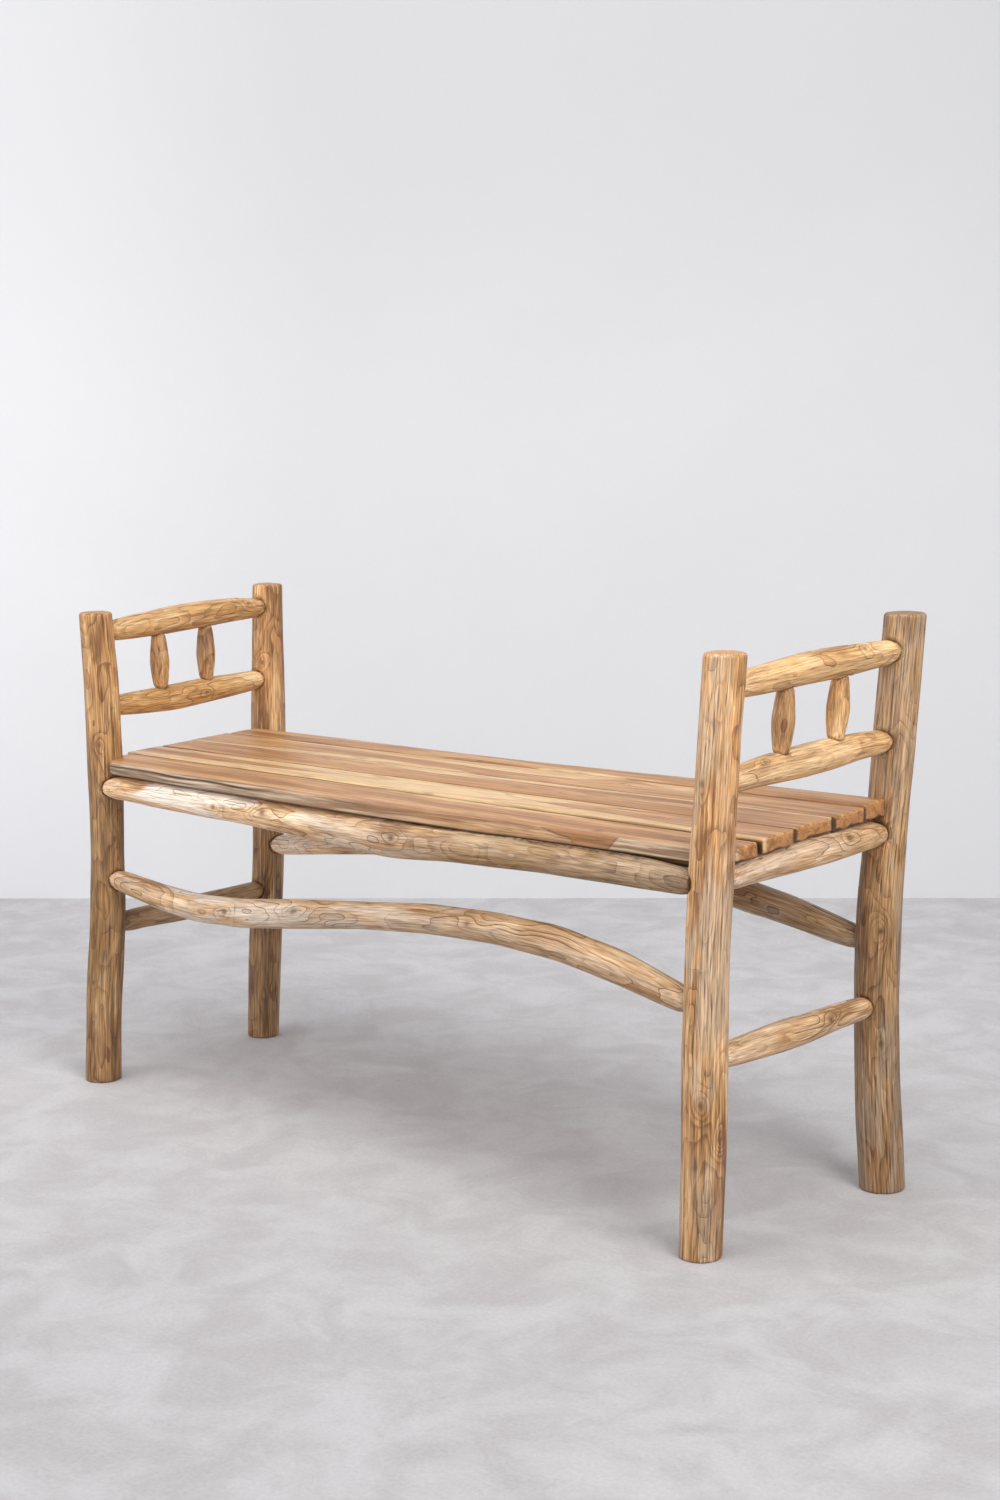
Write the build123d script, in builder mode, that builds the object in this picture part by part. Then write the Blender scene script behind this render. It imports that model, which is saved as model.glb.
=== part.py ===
from build123d import *
import math
import os
from dataclasses import dataclass

# Rustic log bench, in millimetres. +X runs along the seat, +Y to the back, +Z up.
# The origin is on the floor, at the middle of the bench's footprint.
# Four peeled posts stand at the corners. Round rails join them with round tenons that
# lie in blind mortises, and five boards lie on the end rails and on a bearer below
# their middle. The logs are peeled with a drawknife, which leaves long narrow flats, so
# each is a ruled loft through many-sided sections at the stations given below. Tenons,
# mortises and screws have flats too, as many as their size needs.

# ------------------------------------------------------------------ overall sizes
post_spacing_x = 1112
post_spacing_y = 330
seat_height = 481.3       # top of the boards above the footprint's middle

# How far the posts and the arms stand above the seat. The arms are measured on the
# posts' centre lines, as are the rails and stretchers below.
front_left_rise = 202.7
back_left_rise = 222.7
front_right_rise = 212.7
back_right_rise = 232.7
lower_arm_front_rise = 65.7
lower_arm_back_rise = 79.7
upper_arm_front_rise = 172.7
upper_arm_back_rise = 188.7

# How far the rails that carry the boards, and the long stretchers, lie below the seat
front_rail_drop = 47.3
back_rail_drop = 33.3
end_rail_front_drop = 44.3
end_rail_back_drop = 32.3
front_stretcher_left_drop = 181.3
front_stretcher_right_drop = 186.3
back_stretcher_left_drop = 177.3
back_stretcher_right_drop = 169.3

# Heights above the floor
front_left_height = seat_height + front_left_rise
back_left_height = seat_height + back_left_rise
front_right_height = seat_height + front_right_rise
back_right_height = seat_height + back_right_rise
lower_arm_front_height = seat_height + lower_arm_front_rise
lower_arm_back_height = seat_height + lower_arm_back_rise
upper_arm_front_height = seat_height + upper_arm_front_rise
upper_arm_back_height = seat_height + upper_arm_back_rise
front_rail_height = seat_height - front_rail_drop
back_rail_height = seat_height - back_rail_drop
end_rail_front_height = seat_height - end_rail_front_drop
end_rail_back_height = seat_height - end_rail_back_drop
front_stretcher_left_height = seat_height - front_stretcher_left_drop
front_stretcher_right_height = seat_height - front_stretcher_right_drop
back_stretcher_left_height = seat_height - back_stretcher_left_drop
back_stretcher_right_height = seat_height - back_stretcher_right_drop
side_stretcher_front_height = 230
side_stretcher_back_height = 234

# The front seat rail and the right end rail are let into their posts off centre
front_rail_forward = 7
right_rail_outward = 4

# ------------------------------------------------------------------ joints
fit_clearance = 0.15      # round a tenon
tenon_end_gap = 1.0       # between a tenon's end and the bottom of its mortise
tenon_neck = 1.5          # a log starts to swell this far outside the piece that holds it
tenon_shoulder = 1.0      # step between a tenon and its log, all round
post_tenon_depth = 32
spindle_tenon_depth = 13
bearer_tenon_depth = 16
mitred_overrun = 6        # a tenon of the seat's frame runs this far past the post's centre line
mitre_gap = 0.5           # between the two tenons that meet inside a post

# ------------------------------------------------------------------ logs' surface
round_flats = 16          # flats round a log, a tenon or a mortise
spindle_flats = 12        # a spindle is whittled, so its flats are wider
post_top_bevel = 3.5
foot_bevel = 2.5

# ------------------------------------------------------------------ logs
# A post's stations: share of its height, drift along X, drift along Y, diameter
front_left_shape = [
    (0.00, -11, -3, 51), (0.17, -7, 0, 52), (0.35, 2, 6, 50.5), (0.51, 4, 8, 47.5),
    (0.62, 6, 8, 50), (0.86, 6, 6, 49), (1.00, 2, 2, 46.5)]
back_left_shape = [
    (0.00, -18, -16, 49), (0.17, -14, -12, 50.5), (0.42, -7, -5, 48), (0.53, -7, -3, 48),
    (0.68, -5, -1, 53), (0.84, -4, 1, 48), (1.00, -3, 3, 44)]
front_right_shape = [
    (0.00, -15, -9, 50.5), (0.17, -11, -8, 52), (0.34, -9, -8, 53), (0.51, -6, -8, 51),
    (0.68, -1, -5, 50), (0.85, 5, -2, 47.5), (1.00, 11, 2, 49)]
back_right_shape = [
    (0.00, 7, -1, 57), (0.17, 1, -5, 56), (0.34, -2, -6, 55.5), (0.50, 0, -4, 54.5),
    (0.68, 6, 4, 51), (0.84, 12, 11, 53.5), (1.00, 18, 18, 52)]

# A rail's stations: share of its clear length, rise, drift sideways, diameter
left_upper_arm_shape = [(0.12, 1, 0, 34), (0.32, 2, 0, 38), (0.58, 3.5, 0, 39), (0.84, 3, 0, 35)]
left_lower_arm_shape = [(0.14, -2, 0, 34), (0.42, -3, 0, 39.5), (0.70, -1.5, 0, 35.5), (0.90, -1, 0, 31)]
right_upper_arm_shape = [(0.17, 0.5, 0, 34), (0.45, 2.5, 0, 38), (0.68, 1, 0, 37.5), (0.84, 0.5, 0, 32.5)]
right_lower_arm_shape = [(0.16, 2, 0, 33.5), (0.42, 1.5, 0, 39), (0.63, 2, 0, 38.5), (0.83, 2.5, 0, 33)]
left_end_rail_shape = [(0.10, 2, 0, 35.5), (0.34, 2.5, 0, 39.5), (0.62, 1.5, 0, 41), (0.87, 1.5, 0, 37)]
right_end_rail_shape = [(0.12, 4, 0, 36), (0.38, 4.5, 0, 40.5), (0.64, 3.5, 0, 41.5), (0.88, 3, 0, 37)]
left_stretcher_shape = [(0.12, 0, 0, 31), (0.45, -2.5, 0, 35), (0.68, -1.5, 0, 31.5), (0.88, -1, 0, 30)]
right_stretcher_shape = [(0.14, -1, 0, 31.5), (0.38, -1, 0, 36), (0.62, -1.5, 0, 33.5), (0.84, 0.5, 0, 29.5)]
front_rail_shape = [
    (0.03, 2, 0, 34), (0.12, 1, 0, 37.5), (0.26, 0, 0, 39), (0.40, -3, 0, 43), (0.55, -5, 0, 50.5),
    (0.64, -0.5, 0, 44), (0.78, 2.5, 0, 40), (0.93, 2.5, 0, 36)]
back_rail_shape = [(0.08, 1, 0, 35), (0.30, 2, 2, 39), (0.56, 1, 3, 40), (0.80, -1, 0, 38), (0.95, 0, 0, 33)]
front_stretcher_shape = [
    (0.04, -5, 0, 32.5), (0.10, -12, 0, 37), (0.17, -16, 0, 39.5), (0.26, -10, 0, 40), (0.36, 4, 0, 39),
    (0.48, 21, 0, 35.5), (0.60, 35, 0, 37.5), (0.71, 40.5, 0, 39.5), (0.81, 38, 0, 41.5),
    (0.90, 24, 0, 40.5), (0.96, 10, 0, 35)]
back_stretcher_shape = [
    (0.04, 5, 0, 31), (0.16, 22, 2, 35.5), (0.30, 38, 4, 37.5), (0.50, 47, 4, 39), (0.70, 47, 0, 41),
    (0.83, 34, 0, 41), (0.91, 20, 0, 38), (0.97, 6, 0, 34)]
spindle_shape = [(0.20, 0, 0, 25), (0.48, 0, 0, 28.5), (0.80, 0, 0, 24.5)]

arm_tenon = 28
end_rail_tenon = 28
front_rail_tenon = 29
back_rail_tenon = 28
side_stretcher_tenon = 27
long_stretcher_tenon = 28
spindle_tenon = 19

# Places of the front and the back spindle of each arm, as shares of the arms' clear length
left_spindle_shares = (0.31, 0.635)
right_spindle_shares = (0.31, 0.672)

# ------------------------------------------------------------------ seat
seat_fall = 2.3           # degrees, down to the front
board_gap = 1.5
board_thicknesses = [18, 17.5, 17, 17.5, 21]
board_lifts = [0, 3.5, 3.5, 2.5, 5.5]    # rise of each board from its left end to its right
# The boards are waney, so each has one width at its left end and one at its right
board_widths_left = [70, 61.5, 56.5, 70.5, 54.5]
board_widths_right = [70, 61.5, 78.5, 68.5, 43.5]
board_left_ends = [-546, -562, -560, -563, -558]
board_right_ends = [575, 581, 577, 576, 573]
seat_front_edge = -187
# How far the live edges leave their straight line, at even steps from left to right
front_edge_waves = [6, -1, -5, -7, -4, 3, 8]
back_edge_waves = [0, -3, -10, -13, -6, 0, 0]
board_bevel = 1.5
front_arris_height = 3.5  # the front board's lower arris is cut back
front_arris_depth = 7
post_notch_clearance = 1.0
nose_overlap = 23         # the front board's nose starts this far right of the left post's centre

bearer_x = 6
bearer_width = 46
bearer_depth = 30
bearer_tenon = 18
bearer_tenon_drop = 18.5  # tenon's centre below the bearer's flat
housing_side_gap = 0.3
housing_margin = 30       # the cuts run this far past the boards where nothing stops them
deep_housing_overrun = 12 # the front board's housing is chopped this much too wide

# ------------------------------------------------------------------ screws
screw_length = 40
screw_diameter = 4
screw_flats = 8           # the thread is left out
screw_head_diameter = 8
screw_head_height = 3
screw_bite = 11           # how far a screw goes into its board
screw_hole_clearance = 0.1
screw_end_gap = 1
screw_counterbore = 10
screw_shares = [0.76, 0.55, 0.50, 0.50, 0.40]   # places across each board's width

os.makedirs("parts", exist_ok=True)


# ------------------------------------------------------------------ profiles
def round_section(plane, diameter, place=(0, 0), flats=round_flats):
    with BuildSketch(plane, mode=Mode.PRIVATE) as profile:
        with Locations(place):
            RegularPolygon(diameter / 2, flats)
    return profile.sketch


def block(plane, low_corner, high_corner):
    (low_x, low_y), (high_x, high_y) = low_corner, high_corner
    with BuildSketch(plane, mode=Mode.PRIVATE) as profile:
        with Locations(((low_x + high_x) / 2, (low_y + high_y) / 2)):
            Rectangle(high_x - low_x, high_y - low_y)
    return profile.sketch


# ------------------------------------------------------------------ posts
def between(stations, share):
    """The values at a share of a log's length, on straight lines between its stations."""
    for low, high in zip(stations, stations[1:]):
        if share <= high[0]:
            step = (share - low[0]) / (high[0] - low[0])
            return [a + step * (b - a) for a, b in zip(low[1:], high[1:])]
    return list(stations[-1][1:])


@dataclass
class Post:
    """An upright log with a flat foot, which holds rails in its mortises."""
    corner_x: float
    corner_y: float
    height: float
    shape: list

    def centre(self, z):
        drift_x, drift_y, _ = between(self.shape, z / self.height)
        return Vector(self.corner_x + drift_x, self.corner_y + drift_y, z)

    def radius(self, z):
        return between(self.shape, z / self.height)[2] / 2

    def envelope(self, z, clearance):
        """The post's section at a height, grown by a clearance."""
        centre = self.centre(z)
        return round_section(Plane.XY.offset(z), 2 * (self.radius(z) + clearance), (centre.X, centre.Y))


def footprint_middle(side_shapes, spacing, axis):
    """Middle of the outer surfaces of the posts on two opposite sides, from their stations."""
    low_side, high_side = side_shapes
    low = min(-spacing / 2 + s[axis] - s[3] / 2 for shape in low_side for s in shape)
    high = max(spacing / 2 + s[axis] + s[3] / 2 for shape in high_side for s in shape)
    return (low + high) / 2


left_shapes = (front_left_shape, back_left_shape)
right_shapes = (front_right_shape, back_right_shape)
front_shapes = (front_left_shape, front_right_shape)
back_shapes = (back_left_shape, back_right_shape)
middle_x = footprint_middle((left_shapes, right_shapes), post_spacing_x, 1)
middle_y = footprint_middle((front_shapes, back_shapes), post_spacing_y, 2)
left_x = -post_spacing_x / 2 - middle_x
right_x = post_spacing_x / 2 - middle_x
front_y = -post_spacing_y / 2 - middle_y
back_y = post_spacing_y / 2 - middle_y

posts = {
    "front_left_post": Post(left_x, front_y, front_left_height, front_left_shape),
    "back_left_post": Post(left_x, back_y, back_left_height, back_left_shape),
    "front_right_post": Post(right_x, front_y, front_right_height, front_right_shape),
    "back_right_post": Post(right_x, back_y, back_right_height, back_right_shape),
}


# ------------------------------------------------------------------ rails and spindles
@dataclass
class Log:
    """A round member with a round tenon at each end, held by two other pieces."""
    start: Vector             # on the centre line of the piece that holds the first end
    end: Vector
    start_cover: float        # radius of that piece
    end_cover: float
    tenon: float
    tenon_depth: float
    shape: list
    up: Vector = Vector(0, 0, 1)

    @property
    def direction(self):
        return (self.end - self.start).normalized()

    @property
    def clear_start(self):
        return self.start_cover + tenon_neck

    @property
    def clear_length(self):
        return (self.end - self.start).length - self.start_cover - self.end_cover - 2 * tenon_neck

    @property
    def stations(self):
        neck = self.tenon + 2 * tenon_shoulder
        return [(0, 0, 0, neck)] + self.shape + [(1, 0, 0, neck)]

    def plane(self, distance):
        """The cross-section's plane at a distance from the start, with its Y axis upwards."""
        across = self.up.cross(self.direction).normalized()
        return Plane(origin=self.start + self.direction * distance, x_dir=across, z_dir=self.direction)

    def centre(self, share):
        rise, drift, _ = between(self.stations, share)
        section = self.plane(self.clear_start + share * self.clear_length)
        return section.from_local_coords(Vector(drift, rise, 0))

    def radius(self, share):
        return between(self.stations, share)[2] / 2

    def mortises(self):
        """Plane at the bottom of each tenon's hole, facing outwards, and the hole's depth."""
        reach = self.tenon_depth + tenon_end_gap
        length = (self.end - self.start).length
        first = self.plane(self.start_cover - reach)
        last = self.plane(length - self.end_cover + reach)
        last = Plane(origin=last.origin, x_dir=last.x_dir, z_dir=-self.direction)
        return (first, reach + self.start_cover), (last, reach + self.end_cover)


def rail_between(first, last, first_height, last_height, tenon, shape, shift=Vector(0, 0, 0),
                 tenon_depth=post_tenon_depth):
    """A rail from post to post. Its ends may be shifted off the posts' centre lines."""
    return Log(
        start=first.centre(first_height) + shift, end=last.centre(last_height) + shift,
        start_cover=first.radius(first_height), end_cover=last.radius(last_height),
        tenon=tenon, tenon_depth=tenon_depth, shape=shape)


fl = posts["front_left_post"]
bl = posts["back_left_post"]
fr = posts["front_right_post"]
br = posts["back_right_post"]
forward = Vector(0, -front_rail_forward, 0)
outward = Vector(right_rail_outward, 0, 0)
front_rail_depth = fl.radius(front_rail_height) + mitred_overrun
back_rail_depth = bl.radius(back_rail_height) + mitred_overrun
end_rail_depth = fl.radius(end_rail_front_height) + mitred_overrun

rails = {
    "left_upper_arm": rail_between(
        fl, bl, upper_arm_front_height, upper_arm_back_height, arm_tenon, left_upper_arm_shape),
    "left_lower_arm": rail_between(
        fl, bl, lower_arm_front_height, lower_arm_back_height, arm_tenon, left_lower_arm_shape),
    "left_end_rail": rail_between(
        fl, bl, end_rail_front_height, end_rail_back_height, end_rail_tenon, left_end_rail_shape,
        tenon_depth=end_rail_depth),
    "left_stretcher": rail_between(
        fl, bl, side_stretcher_front_height, side_stretcher_back_height, side_stretcher_tenon,
        left_stretcher_shape),
    "right_upper_arm": rail_between(
        fr, br, upper_arm_front_height, upper_arm_back_height, arm_tenon, right_upper_arm_shape),
    "right_lower_arm": rail_between(
        fr, br, lower_arm_front_height, lower_arm_back_height, arm_tenon, right_lower_arm_shape),
    "right_end_rail": rail_between(
        fr, br, end_rail_front_height, end_rail_back_height, end_rail_tenon, right_end_rail_shape,
        shift=outward, tenon_depth=end_rail_depth),
    "right_stretcher": rail_between(
        fr, br, side_stretcher_front_height, side_stretcher_back_height, side_stretcher_tenon,
        right_stretcher_shape),
    "front_seat_rail": rail_between(
        fl, fr, front_rail_height, front_rail_height, front_rail_tenon, front_rail_shape,
        shift=forward, tenon_depth=front_rail_depth),
    "back_seat_rail": rail_between(
        bl, br, back_rail_height, back_rail_height, back_rail_tenon, back_rail_shape,
        tenon_depth=back_rail_depth),
    "front_stretcher": rail_between(
        fl, fr, front_stretcher_left_height, front_stretcher_right_height, long_stretcher_tenon,
        front_stretcher_shape),
    "back_stretcher": rail_between(
        bl, br, back_stretcher_left_height, back_stretcher_right_height, long_stretcher_tenon,
        back_stretcher_shape),
}


def spindle_between(lower, upper, share):
    """A whittled spindle that stands on the lower arm and holds the upper one."""
    return Log(
        start=lower.centre(share), end=upper.centre(share),
        start_cover=lower.radius(share), end_cover=upper.radius(share),
        tenon=spindle_tenon, tenon_depth=spindle_tenon_depth, shape=spindle_shape, up=Vector(0, 1, 0))


spindles = {}
for side, shares in (("left", left_spindle_shares), ("right", right_spindle_shares)):
    for place, share in zip(("front", "back"), shares):
        spindles[f"{side}_{place}_spindle"] = spindle_between(
            rails[side + "_lower_arm"], rails[side + "_upper_arm"], share)


# ------------------------------------------------------------------ seat boards
seat_plane = Plane(origin=(0, 0, seat_height), x_dir=(1, 0, 0),
                   z_dir=(0, -math.sin(math.radians(seat_fall)), math.cos(math.radians(seat_fall))))
board_count = len(board_thicknesses)
last_board = board_count - 1


def board_slope(index):
    return board_lifts[index] / (board_right_ends[index] - board_left_ends[index])


def board_plane(index):
    """Plane of a board's top face. It meets the seat's plane at the board's left end."""
    slope = board_slope(index)
    along = (seat_plane.x_dir + seat_plane.z_dir * slope).normalized()
    return Plane(origin=seat_plane.origin - seat_plane.z_dir * slope * board_left_ends[index],
                 x_dir=along, z_dir=along.cross(seat_plane.y_dir))


def board_edges(index, x):
    """Front and back edge of a board at x, in the seat's plane, without its waves."""
    left, right = board_left_ends[index], board_right_ends[index]
    step = (x - left) / (right - left)
    edges = []
    for widths in (sum(board_widths_left[:index]), sum(board_widths_left[:index + 1])):
        edges.append(seat_front_edge + index * board_gap + widths)
    for i, widths in enumerate((sum(board_widths_right[:index]), sum(board_widths_right[:index + 1]))):
        at_right = seat_front_edge + index * board_gap + widths
        edges[i] += step * (at_right - edges[i])
    return edges


def waney_line(index, side, waves):
    """Points of a live edge, spaced evenly along the board."""
    left, right = board_left_ends[index], board_right_ends[index]
    points = []
    for i, wave in enumerate(waves):
        x = left + (right - left) * i / (len(waves) - 1)
        points.append((x, board_edges(index, x)[side] + wave))
    return points


notch_heights = (seat_height - 2 * max(board_thicknesses), seat_height + max(board_thicknesses))


def make_board(index):
    """A sawn board with eased upper edges; the first and the last have a live outer edge."""
    left, right = board_left_ends[index], board_right_ends[index]
    thickness = board_thicknesses[index]
    with BuildPart() as board:
        with BuildSketch(board_plane(index)):
            with BuildLine():
                if index == 0:
                    front = Polyline(*waney_line(index, 0, front_edge_waves))
                else:
                    front = Line((left, board_edges(index, left)[0]), (right, board_edges(index, right)[0]))
                if index == last_board:
                    back = Polyline(*waney_line(index, 1, back_edge_waves))
                else:
                    back = Line((left, board_edges(index, left)[1]), (right, board_edges(index, right)[1]))
                Line(front @ 0, back @ 0)
                Line(front @ 1, back @ 1)
            make_face()
        extrude(amount=-thickness)
        chamfer(board.faces().sort_by(Axis.Z)[-1].edges(), board_bevel)
        if index == 0:
            under_face = board.faces().sort_by(Axis.Z)[0]
            lower_arrises = under_face.edges().sort_by(Axis.Y)[:len(front_edge_waves) - 1]
            chamfer(lower_arrises, front_arris_depth, front_arris_height, reference=under_face)
        near = [post for post in posts.values() if (index == 0) == (post.corner_y < 0)]
        for post in near if index in (0, last_board) else []:
            loft([post.envelope(z, post_notch_clearance) for z in notch_heights],
                 ruled=True, mode=Mode.SUBTRACT)
        if index == 0:
            post_x, post_y, _ = fl.centre(seat_height)
            nose_x = post_x + nose_overlap
            corner = block(
                board_plane(index), (left - thickness, post_y - board_widths_left[0]), (nose_x, post_y))
            extrude(corner, amount=2 * thickness, both=True, mode=Mode.SUBTRACT)
        for planes in screws_in.values():
            drill_for_shank(planes[index])
    return board


def board_space(index, margin):
    """The ground that a board takes in its housings, wider by the margin at the seat's sides."""
    left, right = board_left_ends[index] - margin, board_right_ends[index] + margin
    low = margin if index == 0 else housing_side_gap
    high = housing_side_gap
    if index == 0:
        high = deep_housing_overrun
    if index == last_board:
        high = margin
    corners = [(x, board_edges(index, x)[0] - low) for x in (left, right)]
    corners += [(x, board_edges(index, x)[1] + high) for x in (right, left)]
    with BuildSketch(board_plane(index).offset(-board_thicknesses[index]), mode=Mode.PRIVATE) as ground:
        Polygon(*corners, align=None)
    return ground.sketch


# ------------------------------------------------------------------ bearer
front_rail = rails["front_seat_rail"]
back_rail = rails["back_seat_rail"]
bearer_lifts = [board_slope(i) * (bearer_x - board_left_ends[i]) for i in range(board_count)]
bearer_top = max(lift - thickness for lift, thickness in zip(bearer_lifts, board_thicknesses))
bearer_tenon_height = bearer_top - bearer_tenon_drop    # from the seat's plane


def share_at_x(rail, x):
    return (x - rail.start.X - rail.clear_start) / rail.clear_length


def bearer_end(rail):
    """The bearer's end above the centre line of a rail, and that rail's radius there."""
    share = share_at_x(rail, bearer_x)
    y = rail.centre(share).Y
    fall = math.radians(seat_fall)
    z = seat_height + y * math.tan(fall) + bearer_tenon_height / math.cos(fall)
    return Vector(bearer_x, y, z), rail.radius(share)


bearer_start, front_rail_radius = bearer_end(front_rail)
bearer_stop, back_rail_radius = bearer_end(back_rail)
bearer = Log(start=bearer_start, end=bearer_stop, start_cover=front_rail_radius,
             end_cover=back_rail_radius, tenon=bearer_tenon, tenon_depth=bearer_tenon_depth, shape=[])

# ------------------------------------------------------------------ screws
left_end_rail = rails["left_end_rail"]
right_end_rail = rails["right_end_rail"]
supports = {
    "left_end_rail": (left_end_rail.start.X + left_end_rail.end.X) / 2,
    "right_end_rail": (right_end_rail.start.X + right_end_rail.end.X) / 2,
}


def screw_plane(index, x):
    """Plane under the head of the screw that holds a board at x; the screw points along +Z."""
    front, back = board_edges(index, x)
    y = front + screw_shares[index] * (back - front)
    depth = -board_thicknesses[index] + screw_bite - screw_length
    top = board_plane(index)
    return Plane(origin=top.from_local_coords(Vector(x, y, depth)), x_dir=top.x_dir, z_dir=top.z_dir)


screws_in = {name: [screw_plane(i, x) for i in range(board_count)] for name, x in supports.items()}


# ------------------------------------------------------------------ solids
def add_log(log):
    """Loft a log through its stations into the open part, with a tenon on each end."""
    sections = []
    for share, rise, drift, diameter in log.stations:
        plane = log.plane(log.clear_start + share * log.clear_length)
        sections.append(round_section(plane, diameter, (drift, rise)))
    loft(sections, ruled=True)
    add_tenons(log)


def add_tenons(log):
    length = log.tenon_depth + tenon_neck
    extrude(round_section(log.plane(log.clear_start), log.tenon), amount=-length)
    extrude(round_section(log.plane(log.clear_start + log.clear_length), log.tenon), amount=length)


def drill_mortise(mortise, diameter):
    plane, depth = mortise
    extrude(round_section(plane, diameter + 2 * fit_clearance), amount=depth, mode=Mode.SUBTRACT)


def cut_housings():
    """Cut the boards' housings into the open part, so that they lie on flats."""
    for index, thickness in enumerate(board_thicknesses):
        extrude(board_space(index, housing_margin), amount=thickness + housing_margin, mode=Mode.SUBTRACT)


def drill_for_shank(plane):
    hole = round_section(plane, screw_diameter + 2 * screw_hole_clearance, flats=screw_flats)
    extrude(hole, amount=screw_length + screw_end_gap, mode=Mode.SUBTRACT)


def drill_for_head(plane):
    """A counterbore from below, up to the seat of the screw's head."""
    hole = round_section(plane.offset(screw_head_height), screw_counterbore, flats=screw_flats)
    extrude(hole, amount=-screw_length, mode=Mode.SUBTRACT)


def corner_cut(long_rail, long_end, end_rail, end_end):
    """The upright plane between two tenons that meet in a post, facing the long rail."""
    corner = Vector(end_end.X, long_end.Y, long_end.Z)
    along_long = (long_rail.centre(0.5) - long_end).normalized()
    along_end = (end_rail.centre(0.5) - end_end).normalized()
    facing = along_long - along_end
    return corner, Vector(facing.X, facing.Y, 0).normalized()


def mitres_of(name):
    """Corner and facing of each mitre cut on a rail of the seat frame."""
    cuts = []
    for long_name, at_back in (("front_seat_rail", False), ("back_seat_rail", True)):
        for end_name, at_right in (("left_end_rail", False), ("right_end_rail", True)):
            long_rail, end_rail = rails[long_name], rails[end_name]
            long_end = long_rail.end if at_right else long_rail.start
            end_end = end_rail.end if at_back else end_rail.start
            corner, facing = corner_cut(long_rail, long_end, end_rail, end_end)
            if name == long_name:
                cuts.append((corner, facing))
            if name == end_name:
                cuts.append((corner, -facing))
    return cuts


def make_rail(name, log):
    with BuildPart() as rail:
        add_log(log)
        for corner, facing in mitres_of(name):
            split(bisect_by=Plane(origin=corner + facing * (mitre_gap / 2), z_dir=facing), keep=Keep.TOP)
        if "arm" in name:
            for spindle_name, spindle in spindles.items():
                if spindle_name.split("_")[0] == name.split("_")[0]:
                    end = 0 if "lower" in name else 1
                    drill_mortise(spindle.mortises()[end], spindle.tenon)
        if name == "front_seat_rail":
            drill_mortise(bearer.mortises()[0], bearer.tenon)
        if name == "back_seat_rail":
            drill_mortise(bearer.mortises()[1], bearer.tenon)
        if "seat_rail" in name or "end_rail" in name:
            cut_housings()
        for plane in screws_in.get(name, []):
            drill_for_shank(plane)
            drill_for_head(plane)
    return rail


def make_post(post):
    with BuildPart() as body:
        sections = []
        for share, drift_x, drift_y, diameter in post.shape:
            place = (post.corner_x + drift_x, post.corner_y + drift_y)
            sections.append(round_section(Plane.XY.offset(share * post.height), diameter, place))
        loft(sections, ruled=True)
        chamfer(body.faces().sort_by(Axis.Z)[-1].edges(), post_top_bevel)
        chamfer(body.faces().sort_by(Axis.Z)[0].edges(), foot_bevel)
        for rail in rails.values():
            for mortise, rail_end in zip(rail.mortises(), (rail.start, rail.end)):
                if (rail_end - post.centre(rail_end.Z)).length < post.radius(rail_end.Z):
                    drill_mortise(mortise, rail.tenon)
    return body


def make_bearer():
    """A half-round batten, flat side up, with a round tenon at each end."""
    flat = bearer_tenon_drop
    with BuildPart() as batten:
        with BuildSketch(bearer.plane(bearer.clear_start)):
            with BuildLine():
                Line((-bearer_width / 2, flat), (bearer_width / 2, flat))
                ThreePointArc((bearer_width / 2, flat), (0, flat - bearer_depth), (-bearer_width / 2, flat))
            make_face()
        extrude(amount=bearer.clear_length)
        add_tenons(bearer)
        cut_housings()
    return batten


def make_screws():
    """Hexagon-headed wood screws, one through each end rail into each board."""
    with BuildPart() as single:
        extrude(round_section(Plane.XY, screw_head_diameter, flats=6), amount=screw_head_height)
        extrude(round_section(Plane.XY, screw_diameter, flats=screw_flats), amount=screw_length)
    with BuildPart() as screws:
        for planes in screws_in.values():
            with Locations(*planes):
                add(single.part)
    return screws


def make_spindle(log):
    """A straight spindle: each stretch is drawn from its thicker end and tapers to the thinner."""
    with BuildPart() as spindle:
        for ends in zip(log.stations, log.stations[1:]):
            thin, thick = sorted(ends, key=lambda station: station[3])
            length = (thin[0] - thick[0]) * log.clear_length
            narrowing = (thick[3] - thin[3]) / 2 * math.cos(math.pi / spindle_flats)
            plane = log.plane(log.clear_start + thick[0] * log.clear_length)
            taper = math.degrees(math.atan(narrowing / abs(length)))
            extrude(round_section(plane, thick[3], flats=spindle_flats), amount=length, taper=taper)
        add_tenons(log)
    return spindle


def save(builder, name):
    builder.part.label = name
    export_step(builder.part, f"parts/{name}.step")


for name, post in posts.items():
    save(make_post(post), name)
for name, rail in rails.items():
    save(make_rail(name, rail), name)
for name, spindle in spindles.items():
    save(make_spindle(spindle), name)
for index in range(board_count):
    save(make_board(index), f"seat_board_{index + 1}")
save(make_bearer(), "seat_bearer")
save(make_screws(), "seat_screws")
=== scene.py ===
import math

import bpy
import numpy as np
from mathutils import Matrix, Vector


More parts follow.
